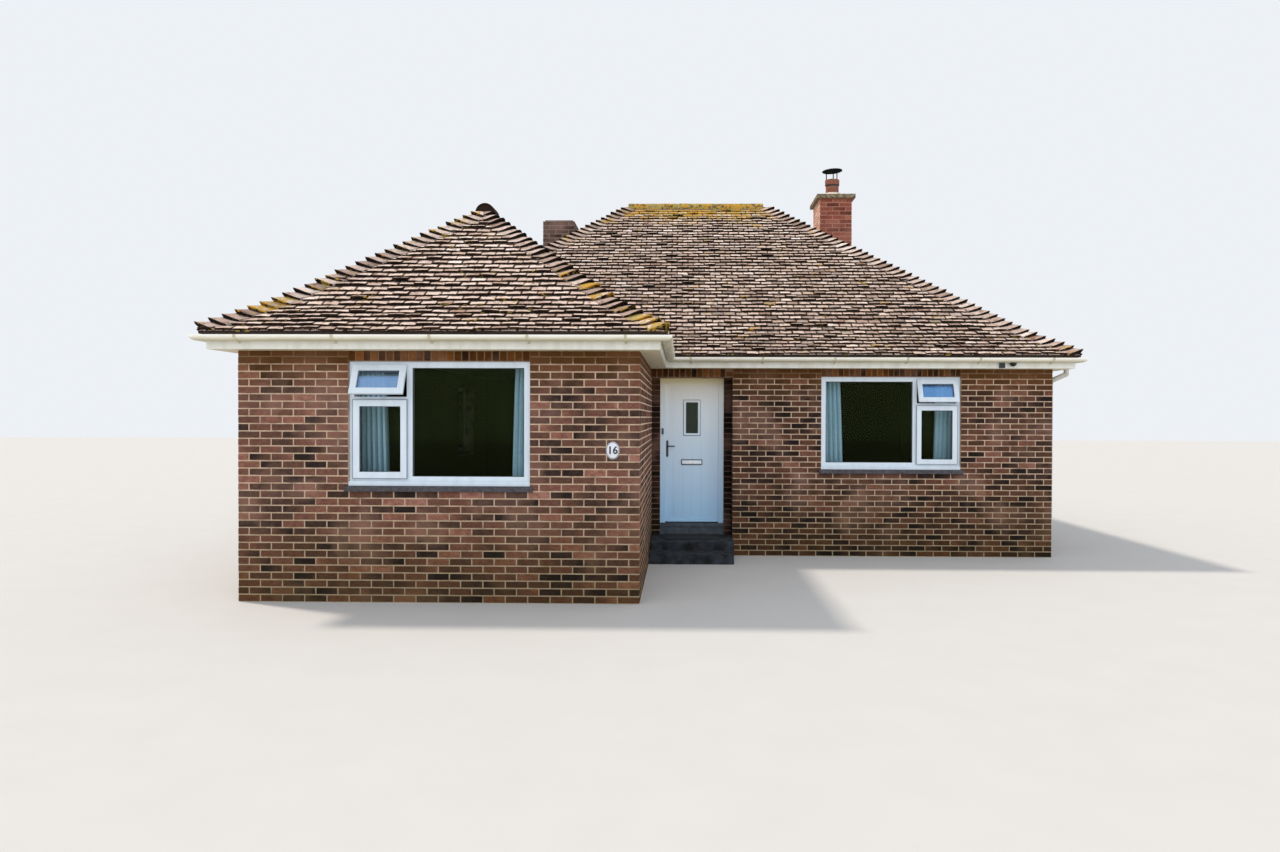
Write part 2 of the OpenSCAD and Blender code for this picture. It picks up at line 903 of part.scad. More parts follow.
module window_sashes() {
    color(white) {
        on_wing_window() window_sash_pair(wing_window_w, "left", wing_fan_angle);
        on_main_window() window_sash_pair(main_window_w, "right", main_fan_angle);
    }
}

module front_window_glass() {
    color(glass) {
        on_wing_window() window_panes(wing_window_w, "left", wing_fan_angle);
        on_main_window() window_panes(main_window_w, "right", main_fan_angle);
    }
}

module closed_window(w) {
    window_frame(w, "right");
    window_sash_pair(w, "right", 0);
}

module side_window_frames() {
    color(white) on_side_windows() {
        closed_window(side_window_w);
        closed_window(rear_window_w);
    }
}

module side_window_glass() {
    color(glass) on_side_windows() {
        window_panes(side_window_w, "right", 0);
        window_panes(rear_window_w, "right", 0);
    }
}

// Sill in the foot of an opening, with a sloped nose that has horns on the wall face
module sill(w) {
    fall = 6;
    translate([0, -setback, -sill_h]) cube([w, wall_t, sill_h]);
    translate([-sill_horn, -setback, -sill_h])
        rotate([90, 0, 90])
            linear_extrude(w + 2 * sill_horn)
                polygon([[0, 0], [0, sill_h], [-sill_out, sill_h - fall], [-sill_out, 0]]);
}

module window_sills() {
    color(slate) {
        on_wing_window() sill(wing_window_w);
        on_main_window() sill(main_window_w);
        on_side_windows() {
            sill(side_window_w);
            sill(rear_window_w);
        }
    }
}

frame_y = y_door + door_setback;
leaf_y = frame_y + door_frame_d - leaf_t;
leaf_x0 = door_x0 + door_face - stop_lap;
leaf_x1 = door_x1 - door_face + stop_lap;
leaf_z0 = floor_z + leaf_gap + 3;
leaf_z1 = door_head - door_face + stop_lap;

// Outer frame with the stop that the leaf closes against
module door_frame() {
    color(white) difference() {
        translate([door_x0, frame_y, floor_z])
            cube([door_w, door_frame_d, door_head - floor_z]);
        translate([door_x0 + door_face, frame_y - eps, floor_z - eps])
            cube([door_w - 2 * door_face, door_frame_d + 2 * eps,
                door_head - door_face - floor_z + eps]);
        translate([leaf_x0 - leaf_gap, leaf_y - leaf_gap, floor_z - eps])
            cube([leaf_x1 - leaf_x0 + 2 * leaf_gap, door_frame_d,
                leaf_z1 + leaf_gap - floor_z + eps]);
    }
}

module door_threshold() {
    nose = 20;
    color(slate) {
        translate([door_x0, y_door, 0]) cube([door_w, wall_t, floor_z]);
        translate([door_x0, y_door - nose, step_top + 110])
            cube([door_w, nose, floor_z - step_top - 110]);
    }
}

pane_x = (leaf_x0 + leaf_x1) / 2;
lever_x = leaf_x0 + lever_back;
spindle_r = 5;
neck_r = 9;

// Block centred on the leaf's middle line
module leaf_block(w, h, z, y0, y1) {
    translate([pane_x - w / 2, y0, z - h / 2]) cube([w, y1 - y0, h]);
}

module front_door() {
    groove = 4;
    boards = 6;
    step = (leaf_x1 - leaf_x0) / boards;
    color(white) difference() {
        translate([leaf_x0, leaf_y, leaf_z0])
            cube([leaf_x1 - leaf_x0, leaf_t, leaf_z1 - leaf_z0]);
        for (i = [1 : boards - 1])
            translate([leaf_x0 + i * step - groove / 2, leaf_y - eps, leaf_z0 + 90])
                cube([groove, groove + eps, leaf_z1 - leaf_z0 - 180]);
        leaf_block(pane_w, pane_h, pane_z, leaf_y - eps, leaf_y + leaf_t + eps);
        translate([lever_x, leaf_y - eps, lever_z])
            rotate([-90, 0, 0]) cylinder(h = leaf_t + 2 * eps, r = spindle_r + running, $fn = 24);
    }
}

module door_pane_frames() {
    lip = 10;
    color(white) for (y = [leaf_y - lip, leaf_y + leaf_t])
        difference() {
            leaf_block(pane_w + 2 * pane_face, pane_h + 2 * pane_face, pane_z, y, y + lip);
            leaf_block(pane_w, pane_h, pane_z, y - eps, y + lip + eps);
        }
}

module door_glass() {
    color(glass) leaf_block(pane_w, pane_h, pane_z,
        leaf_y + (leaf_t - glass_t) / 2, leaf_y + (leaf_t + glass_t) / 2);
}

plate_t = 8;

module handle_plates() {
    plate_w = 30;
    plate_h = 232;
    color([0.8, 0.8, 0.82]) for (y = [leaf_y - plate_t, leaf_y + leaf_t])
        difference() {
            translate([lever_x - plate_w / 2, y, lever_z - plate_h * 0.64])
                cube([plate_w, plate_t, plate_h]);
            translate([lever_x, y - eps, lever_z])
                rotate([-90, 0, 0])
                    cylinder(h = plate_t + 2 * eps, r = neck_r + running, $fn = 24);
        }
}

// Both levers on their spindle
module lever_handles() {
    grip_r = 9;
    stand = 34;
    y_out = leaf_y - plate_t - stand;
    y_in = leaf_y + leaf_t + plate_t + stand;
    color([0.8, 0.8, 0.82]) translate([lever_x, 0, lever_z]) {
        translate([0, y_out, 0]) rotate([-90, 0, 0])
            cylinder(h = y_in - y_out, r = spindle_r, $fn = 24);
        for (y = [y_out - grip_r, leaf_y + leaf_t + running])
            translate([0, y, 0]) rotate([-90, 0, 0])
                cylinder(h = stand + plate_t + grip_r - running, r = neck_r, $fn = 24);
        for (y = [y_out, y_in])
            translate([0, y, 0]) rotate([0, 90, 0]) cylinder(h = lever_len, r = grip_r, $fn = 24);
    }
}

// Plate with rounded ends, centred on the leaf's middle line
module round_plate(w, h, r, z, y0, y1) {
    translate([pane_x, y1, z])
        rotate([90, 0, 0])
            linear_extrude(y1 - y0) {
                square([w, h - 2 * r], center = true);
                square([w - 2 * r, h], center = true);
                for (x = [-1, 1], y = [-1, 1])
                    translate([x * (w / 2 - r), y * (h / 2 - r)]) circle(r, $fn = 32);
            }
}

module letter_plate() {
    plate_h = 72;
    rim = 14;
    color([0.8, 0.8, 0.82]) {
        round_plate(letter_w, plate_h, 24, letter_z, leaf_y - 6, leaf_y);
        round_plate(letter_w - 2 * rim, plate_h - 2 * rim, 12, letter_z, leaf_y - 11, leaf_y - 6);
    }
}

hinge_y = leaf_y + leaf_t + 9;
hinge_x = leaf_x1 + 6;
hinge_zs = [for (k = [0.1, 0.5, 0.9]) leaf_z0 + k * (leaf_z1 - leaf_z0)];
knuckle_r = 8;
knuckle_h = 40;
hinge_plate_t = 2.5;

module frame_hinges() {
    color(white) for (z = hinge_zs) {
        translate([hinge_x, hinge_y, z - knuckle_h]) {
            cylinder(h = knuckle_h, r = knuckle_r, $fn = 24);
            cylinder(h = 2 * knuckle_h, r = hinge_pin_r, $fn = 24);
        }
        translate([hinge_x, leaf_y + leaf_t, z - knuckle_h])
            cube([32, hinge_plate_t, knuckle_h]);
    }
}

module door_hinges() {
    color(white) for (z = hinge_zs) {
        translate([0, 0, z + running])
            difference() {
                union() {
                    translate([hinge_x, hinge_y, 0])
                        cylinder(h = knuckle_h - running, r = knuckle_r, $fn = 24);
                    translate([hinge_x - 40, leaf_y + leaf_t, 0])
                        cube([40, hinge_plate_t, knuckle_h - running]);
                }
                translate([hinge_x, hinge_y, -eps])
                    cylinder(h = knuckle_h + 2 * eps, r = hinge_pin_r + pin_clear, $fn = 24);
            }
    }
}

module door_steps() {
    color(stone) {
        translate([x_wing, y_main - step_upper, 0])
            cube([recess_w, step_upper + recess_d, step_top]);
        translate([x_wing, y_main - step_upper - step_lower, 0])
            cube([recess_w - 20, step_lower, step_low]);
    }
}

module doormat() {
    mat = [750, 450, 14];
    color(dark)
        translate([door_x0 + (door_w - mat.x) / 2, y_door - 60 - mat.y, step_top]) cube(mat);
}

// Oval plate beside the wing's corner
module number_plate() {
    plate_w = 136;
    plate_h = 176;
    sides = 40;
    color(cream)
        translate([x_wing - 270, y_front, 1540])
            rotate([90, 0, 0])
                linear_extrude(8)
                    polygon([for (i = [0 : sides - 1])
                        let (a = 360 * i / sides) [plate_w / 2 * cos(a), plate_h / 2 * sin(a)]]);
}

// Bell push on the door frame's left jamb
module bell_push() {
    push = [24, 16, 84];
    push_z = 1678;
    color(dark) translate([door_x0 + door_face / 2 - push.x / 2, frame_y, push_z]) {
        translate([0, -push.y, -push.z / 2]) cube(push);
        translate([push.x / 2, -push.y, 0]) rotate([90, 0, 0]) cylinder(h = 3, r = 8, $fn = 24);
    }
}

// Sensor box and lamp under the gutter, the lamp a dome that hangs from the fascia
module fascia_fittings() {
    box = [66, 40, 66];
    lamp_r = 45;
    lamp_out = 30;
    y = y_main - overhang;
    color(dark) {
        translate([x_right - 790, y - box.y, soffit_z + 5]) cube(box);
        translate([x_right - 615, y, soffit_z + lamp_r + 25])
            intersection() {
                translate([0, -lamp_out, 0]) sphere(lamp_r, $fn = 32);
                translate([-lamp_r, -lamp_out - lamp_r, -lamp_r])
                    cube([2 * lamp_r, lamp_out + lamp_r, lamp_r]);
            }
    }
}

rail = 22;
rail_z = 2520;

module rail_at(x, w) {
    translate([x - 60, wall_t, rail_z - rail]) cube([w + 120, 60, rail]);
}

module curtain_rails() {
    color(white) {
        on_side("wing") rail_at(wing_window_x, wing_window_w);
        on_side("front") rail_at(main_window_x, main_window_w);
    }
}

wing_curtain_left = 350;
wing_curtain_right = 282;
main_curtain_left = 400;
main_curtain_right = 317;
curtain_t = 70;
curtain_past = 40;
curtain_drop = rail_z - rail - sill_z + 80;

module curtain_at(x, w) {
    translate([x, wall_t + 6, rail_z - rail - running - curtain_drop])
        cube([w, curtain_t, curtain_drop]);
}

// Pair of drawn curtains, given the widths of the left and the right one
module curtain_pair(x, w, left_w, right_w) {
    curtain_at(x - curtain_past, left_w);
    curtain_at(x + w + curtain_past - right_w, right_w);
}

module curtains() {
    color([0.35, 0.5, 0.55]) {
        on_side("wing")
            curtain_pair(wing_window_x, wing_window_w, wing_curtain_left, wing_curtain_right);
        on_side("front")
            curtain_pair(main_window_x, main_window_w, main_curtain_left, main_curtain_right);
    }
}

wing_front_wall();
wing_right_wall();
left_wall();
rear_wall();
right_wall();
main_front_wall();
porch_return_wall();
door_side_walls();
wall_over_door();
floor_slab();
ceiling();
main_roof();
wing_roof();
ridge_tiles();
hip_tiles();
soffit_boards();
fascia_boards();
wing_gutter();
main_gutter();
rear_gutters();
gutter_brackets();
downpipes();
right_chimney();
chimney_cap();
chimney_pot();
chimney_cowl();
left_chimney();
front_window_frames();
window_sashes();
front_window_glass();
side_window_frames();
side_window_glass();
window_sills();
door_frame();
door_threshold();
front_door();
door_pane_frames();
door_glass();
handle_plates();
lever_handles();
letter_plate();
frame_hinges();
door_hinges();
door_steps();
doormat();
bell_push();
number_plate();
fascia_fittings();
curtain_rails();
curtains();
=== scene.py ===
"""Brick bungalow: brickwork, roof tiles, glazing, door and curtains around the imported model."""
import math

import bpy
import numpy as np
from mathutils import Matrix, Vector


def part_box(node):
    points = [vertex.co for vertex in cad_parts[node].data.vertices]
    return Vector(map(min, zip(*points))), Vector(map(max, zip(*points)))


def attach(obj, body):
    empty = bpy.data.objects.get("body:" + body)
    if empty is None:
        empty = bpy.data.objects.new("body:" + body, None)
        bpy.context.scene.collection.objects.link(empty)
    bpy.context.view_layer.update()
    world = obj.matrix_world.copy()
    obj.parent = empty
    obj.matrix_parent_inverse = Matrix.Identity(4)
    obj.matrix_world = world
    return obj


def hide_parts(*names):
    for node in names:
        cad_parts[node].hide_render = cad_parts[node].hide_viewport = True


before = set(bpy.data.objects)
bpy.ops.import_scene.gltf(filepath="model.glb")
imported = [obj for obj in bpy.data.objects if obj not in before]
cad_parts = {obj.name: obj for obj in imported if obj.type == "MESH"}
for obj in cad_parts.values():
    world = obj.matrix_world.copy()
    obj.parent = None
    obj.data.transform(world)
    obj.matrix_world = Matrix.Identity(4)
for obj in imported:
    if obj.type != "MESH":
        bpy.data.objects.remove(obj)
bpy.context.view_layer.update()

bl_info = {
    "name": "Brick Bungalow",
    "version": (1, 0, 0),
    "blender": (4, 5, 0),
    "location": "View3D > Sidebar > Bungalow",
    "description": "Lays the bricks and tiles of a bungalow and fits its glazing and curtains",
    "category": "Add Mesh",
}

SEED = 1954
EAST, NORTH, UP = Vector((1, 0, 0)), Vector((0, 1, 0)), Vector((0, 0, 1))

X_LEFT, X_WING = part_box("wing_front_wall")[0].x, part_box("wing_front_wall")[1].x
X_RECESS, X_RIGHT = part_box("main_front_wall")[0].x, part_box("main_front_wall")[1].x
Y_FRONT, Y_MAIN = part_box("wing_front_wall")[0].y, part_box("main_front_wall")[0].y
Y_DOOR, Y_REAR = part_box("door_side_walls")[0].y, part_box("rear_wall")[1].y
WALL_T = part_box("wing_front_wall")[1].y - Y_FRONT
SOFFIT_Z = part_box("soffit_boards")[0].z
LINTEL_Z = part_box("wall_over_door")[0].z
ROOF_LOW, ROOF_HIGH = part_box("main_roof")
# Distance of the roof's edge from the walls, and the half spans from eaves to ridge
REACH = X_LEFT - ROOF_LOW.x
WING_EAVE_Y = Y_FRONT - REACH
WING_HALF = (X_WING - X_LEFT) / 2 + REACH
MAIN_HALF = (ROOF_HIGH.y - ROOF_LOW.y) / 2
# Place along the main ridge, over the entrance, where the lichen crust is thickest
CRUST_X = -0.45


def linear(code):
    """Turns an sRGB hex colour into the linear numbers that a shader reads."""
    parts = [int(code[i : i + 2], 16) / 255 for i in (1, 3, 5)]
    tones = [c / 12.92 if c <= 0.04045 else ((c + 0.055) / 1.055) ** 2.4 for c in parts]
    return (*tones, 1.0)


def per_metre(millimetres):
    """Scale of a pattern whose grains, threads or waves have this real size."""
    return 1000.0 / millimetres


def size(name, description, default):
    return bpy.props.FloatProperty(
        name=name, description=description, default=default, unit="LENGTH", precision=4
    )


def angle(name, description, degrees):
    return bpy.props.FloatProperty(
        name=name, description=description, default=math.radians(degrees), unit="ROTATION"
    )


def colour(name, description, code):
    return bpy.props.FloatVectorProperty(
        name=name, description=description, default=linear(code), size=4,
        subtype="COLOR", min=0.0, max=1.0,
    )


class BrickSettings(bpy.types.PropertyGroup):
    """Facing bricks and their joints"""
    length: size("Brick length", "Length of a stretcher", 0.2135)
    height: size("Brick height", "Height of a brick", 0.0635)
    joint: size("Joint", "Width of the mortar joints", 0.0115)
    proud: size("Proud", "Distance that a brick stands out of the mortar", 0.0035)
    arris: size("Arris", "Softening of a brick's edges", 0.002)
    mortar: colour("Mortar", "Colour of the weathered mortar", "#D2B8A0")
    slab: size("Cap slab", "Thickness of the slab under the chimney's flaunching", 0.068)


class TileSettings(bpy.types.PropertyGroup):
    """Plain roof tiles, bonnets and ridge tiles"""
    gauge: size("Gauge", "Length of a course along the slope", 0.100)
    width: size("Tile width", "Width of a plain tile", 0.165)
    gap: size("Tile gap", "Gap between two tiles of a course", 0.004)
    thick: size("Tile thickness", "Thickness of a plain tile", 0.018)
    camber: size("Camber", "Rise of a tile's middle over its sides", 0.006)
    edge: size("Eaves edge", "Height of the tile edge over the wall's top", 0.030)
    kick_courses: bpy.props.IntProperty(
        name="Bell-cast courses", description="Courses in the flatter foot", default=6
    )
    kick_pitch: angle("Bell-cast pitch", "Pitch of the flatter foot", 31.0)
    pitch: angle("Pitch", "Pitch of the slopes", 37.7)
    bonnet_half: size("Bonnet half width", "Half width of a bonnet", 0.128)
    bonnet_rise: size("Bonnet rise", "Rise of a bonnet over its hip", 0.042)
    bonnet_lift: size("Bonnet lift", "Lift of a bonnet's tail", 0.038)
    ridge_r: size("Ridge radius", "Outer radius of a ridge tile", 0.120)
    lichen: colour("Lichen", "Colour of the crust lichen", "#C69530")


class GlazingSettings(bpy.types.PropertyGroup):
    """Glass, gaskets and frames"""
    gasket: size("Gasket", "Visible width of a glazing gasket", 0.006)
    plastic: colour("Frame plastic", "Colour of the window and door frames", "#D9E4EC")
    tint: colour("Glass tint", "Colour that the glass units let through", "#F8FBFC")


class EavesSettings(bpy.types.PropertyGroup):
    """Gutter brackets, boards and downpipes"""
    bracket: colour("Bracket", "Colour of the gutter brackets", "#CCC5A8")
    fascia: colour("Fascia", "Colour of the fascia boards", "#E4E3D8")
    soffit: colour("Soffit", "Colour of the soffit boards", "#DBD0AE")
    pipe: colour("Downpipe", "Colour of the downpipes", "#C9C7BE")


class DoorSettings(bpy.types.PropertyGroup):
    """Front door and its fittings"""
    gasket: size("Gasket", "Visible width of the pane's gasket", 0.004)
    # The bead lines are painted shadow lines round the leaf, the pane's frame and the letter
    # plate
    bead: size("Bead", "Width of the grey bead lines", 0.007)
    bar: size("Weather bar", "Depth of the weather bar", 0.010)
    grip: size("Grip radius", "Radius of a lever's grip", 0.0088)


class CurtainSettings(bpy.types.PropertyGroup):
    """Gathered curtains"""
    fold: size("Fold", "Width of one fold", 0.062)
    depth: size("Fold depth", "Depth of a fold from front to back", 0.064)
    cloth: colour("Cloth", "Colour of the curtain cloth", "#D0F2FF")


class StageSettings(bpy.types.PropertyGroup):
    """Camera and floor"""
    eye: bpy.props.FloatVectorProperty(
        name="Eye", description="Place of the camera", default=(-0.248, -13.705, 1.875),
        subtype="TRANSLATION",
    )
    pan: angle("Pan", "Turn of the camera to the left", 1.014)
    tilt: angle("Tilt", "Turn of the camera downwards", 0.584)
    roll: angle("Roll", "Lean of the camera", 0.172)
    lens: bpy.props.FloatProperty(
        name="Lens", description="Focal length", default=24.19, unit="CAMERA"
    )
    floor: colour("Floor", "Colour of the studio floor", "#D4D1CC")


def add(tree, kind, inputs=None, stops=None, **settings):
    """Adds a node with its settings, its ramp stops, and its values or links by socket.
    A node among the inputs stands for the first output that its settings leave on."""
    node = tree.nodes.new(kind)
    for key, value in settings.items():
        setattr(node, key, value)
    if stops:
        points = node.color_ramp.elements
        points[0].position, points[1].position = stops[0][0], stops[-1][0]
        for place, _ in stops[1:-1]:
            points.new(place)
        for point, (_, code) in zip(points, stops):
            point.color = linear(code)
    for key, value in (inputs or {}).items():
        if isinstance(value, bpy.types.Node):
            value = next(socket for socket in value.outputs if socket.enabled)
        if isinstance(value, bpy.types.NodeSocket):
            tree.links.new(value, node.inputs[key])
        else:
            node.inputs[key].default_value = value
    return node


def material(name):
    """Starts a material and returns it with its tree and its object coordinates."""
    made = bpy.data.materials.new(name)
    made.use_nodes = True
    made.node_tree.nodes.clear()
    place = add(made.node_tree, "ShaderNodeTexCoord").outputs["Object"]
    return made, made.node_tree, place


def surface(tree, shader, height=None, strength=0.3, distance=0.001):
    """Ends a material in its shader, with a bump from a height where one is given."""
    if height is not None:
        bump = add(tree, "ShaderNodeBump",
                   {"Height": height, "Strength": strength, "Distance": distance})
        tree.links.new(bump.outputs["Normal"], shader.inputs["Normal"])
    add(tree, "ShaderNodeOutputMaterial", {"Surface": shader})


def facing_brick(name, tones, walled=True):
    """Facing brick: wirecut clay, dragged and kiln flashed, so one end of a brick is often
    darker than the other, and fine drag lines run along it. In a wall, rain splash greys the
    lowest courses, and painted shade of the eaves turns the highest ones a dark warm brown."""
    made, tree, place = material(name)
    tone = add(tree, "ShaderNodeAttribute", attribute_name="tone").outputs["Fac"]
    # Kiln flashes are clouds about 60 mm across, which fray the change of tone
    cloud = add(tree, "ShaderNodeTexNoise",
                {"Vector": place, "Scale": per_metre(58.8), "Detail": 4.0})
    frayed = add(tree, "ShaderNodeMath", {0: cloud, 1: 0.5, 2: tone}, operation="MULTIPLY_ADD")
    centred = add(tree, "ShaderNodeMath", {0: frayed, 1: 0.25}, operation="SUBTRACT")
    body = add(tree, "ShaderNodeValToRGB", {"Fac": centred}, stops=tones)
    # Drag lines are 2 mm apart, drawn at 4 mm so that they show
    dragged = add(tree, "ShaderNodeMapping",
                  {"Vector": place, "Scale": (per_metre(33.3), per_metre(33.3), per_metre(3.85))})
    line = add(tree, "ShaderNodeTexNoise", {"Vector": dragged, "Scale": 1.0, "Detail": 3.0})
    lines = add(tree, "ShaderNodeValToRGB", {"Fac": line},
                stops=[(0.35, "#A3958C"), (0.60, "#FFFFFF")])
    lined = add(tree, "ShaderNodeMix", {0: 0.6, 6: body, 7: lines}, data_type="RGBA",
                blend_type="MULTIPLY")
    # Lime bloom lies in patches about half a metre across
    bloom = add(tree, "ShaderNodeTexNoise",
                {"Vector": place, "Scale": per_metre(455), "Detail": 5.0})
    pale = add(tree, "ShaderNodeMapRange",
               {"Value": bloom, "From Min": 0.50, "From Max": 0.72,
                "To Min": 0.0, "To Max": 0.45})
    bloomed = add(tree, "ShaderNodeMix", {0: pale, 6: lined, 7: linear("#A37C6C")},
                  data_type="RGBA")
    skin = wall_weather(tree, place, bloomed) if walled else bloomed
    shader = add(tree, "ShaderNodeBsdfPrincipled",
                 {"Base Color": skin, "Roughness": 0.92, "Specular IOR Level": 0.2})
    surface(tree, shader, line, 0.6, 0.0015)
    return made


def wall_weather(tree, place, skin):
    """Rain splash about a metre up a wall, and a band of painted shade, warm brown, under its
    eaves. Splash reaches higher in some places, which are about 0.3 m apart."""
    height = add(tree, "ShaderNodeSeparateXYZ", {"Vector": place}).outputs["Z"]
    wet = add(tree, "ShaderNodeTexNoise",
              {"Vector": place, "Scale": per_metre(333), "Detail": 4.0})
    level = add(tree, "ShaderNodeMath", {0: wet, 1: 0.9, 2: height}, operation="MULTIPLY_ADD")
    splash = add(tree, "ShaderNodeMapRange",
                 {"Value": level, "From Min": 0.5, "From Max": 1.6, "To Min": 1.0, "To Max": 0.0})
    greyed = add(tree, "ShaderNodeMix", {0: splash, 6: skin, 7: linear("#C6C69C")},
                 data_type="RGBA", blend_type="MULTIPLY")
    # Painted shade of the eaves turns the highest courses a dark warm brown
    eaves_shade = add(tree, "ShaderNodeMapRange",
              {"Value": height, "From Min": 2.12, "From Max": 2.48,
               "To Min": 0.0, "To Max": 0.68})
    return add(tree, "ShaderNodeMix", {0: eaves_shade, 6: greyed, 7: linear("#623E10")}, data_type="RGBA")


def stained_lime(tree, place, tone, share):
    """Lime and sand in its own tone under damp patches about 0.1 m across: returns the
    node of the patches and the node of the stained colour."""
    patch = add(tree, "ShaderNodeTexNoise",
                {"Vector": place, "Scale": per_metre(111), "Detail": 6.0})
    stain = add(tree, "ShaderNodeValToRGB", {"Fac": patch},
                stops=[(0.25, "#8F8378"), (0.5, "#E9E2DA"), (0.8, "#FFFFFF")])
    stained = add(tree, "ShaderNodeMix", {0: share, 6: tuple(tone), 7: stain}, data_type="RGBA",
                  blend_type="MULTIPLY")
    return patch, stained


def lime_mortar(name, tone, room_shaded=False):
    """Mortar: sand and lime, struck and weathered, pale with darker damp patches, grey-green
    where rain splashes and brown with painted shade under the eaves. With room shade, a wall
    has on its inside a dark olive painted shade that stands in for its unlit room."""
    made, tree, place = material(name)
    _, stained = stained_lime(tree, place, tone, 0.8)
    height = add(tree, "ShaderNodeSeparateXYZ", {"Vector": place}).outputs["Z"]
    splash = add(tree, "ShaderNodeMapRange",
                 {"Value": height, "From Min": 0.1, "From Max": 1.2,
                  "To Min": 0.65, "To Max": 0.0})
    greyed = add(tree, "ShaderNodeMix", {0: splash, 6: stained, 7: linear("#827550")},
                 data_type="RGBA")
    # Painted shade of the eaves turns the highest joints brown
    eaves_shade = add(tree, "ShaderNodeMapRange",
              {"Value": height, "From Min": 2.38, "From Max": 2.44,
               "To Min": 0.0, "To Max": 0.75})
    eaves_shaded = add(tree, "ShaderNodeMix", {0: eaves_shade, 6: greyed, 7: linear("#5C3915")},
                  data_type="RGBA")
    skin = room_shade(tree, place, eaves_shaded) if room_shaded else eaves_shaded
    # Mortar sand of 1 mm, drawn at 4 mm so that it shows
    grain = add(tree, "ShaderNodeTexNoise",
                {"Vector": place, "Scale": per_metre(4), "Detail": 2.0})
    shader = add(tree, "ShaderNodeBsdfPrincipled",
                 {"Base Color": skin, "Roughness": 0.95, "Specular IOR Level": 0.2})
    surface(tree, shader, grain, 0.5, 0.001)
    return made


def chimney_mortar(name, tone):
    """Chimney mortar: sand and lime, smoked and washed by rain, in its own tone."""
    made, tree, place = material(f"{name}_lime_mortar")
    patch, stained = stained_lime(tree, place, tone, 0.6)
    shader = add(tree, "ShaderNodeBsdfPrincipled",
                 {"Base Color": stained, "Roughness": 0.95, "Specular IOR Level": 0.2})
    surface(tree, shader, patch, 0.5, 0.001)
    return made


def room_shade(tree, place, skin):
    """Paints a dark olive shade, which stands in for the unlit rooms, on what lies inside the
    outer walls.
    """
    axes = add(tree, "ShaderNodeSeparateXYZ", {"Vector": place})
    middle_x, middle_y = (X_LEFT + X_RIGHT) / 2, (Y_FRONT + Y_REAR) / 2
    reach_x, reach_y = (X_RIGHT - X_LEFT) / 2, (Y_REAR - Y_FRONT) / 2
    skim = 0.002
    inside = []
    for axis, middle, reach in (("X", middle_x, reach_x), ("Y", middle_y, reach_y)):
        away = add(tree, "ShaderNodeMath", {0: axes.outputs[axis], 1: middle},
                   operation="SUBTRACT")
        off = add(tree, "ShaderNodeMath", {0: away}, operation="ABSOLUTE")
        near = add(tree, "ShaderNodeMath", {0: off, 1: reach - WALL_T + skim},
                   operation="LESS_THAN")
        inside.append(near)
    both = add(tree, "ShaderNodeMath", {0: inside[0], 1: inside[1]}, operation="MINIMUM")
    return add(tree, "ShaderNodeMix", {0: both, 6: skin, 7: linear("#3D3A30")}, data_type="RGBA")


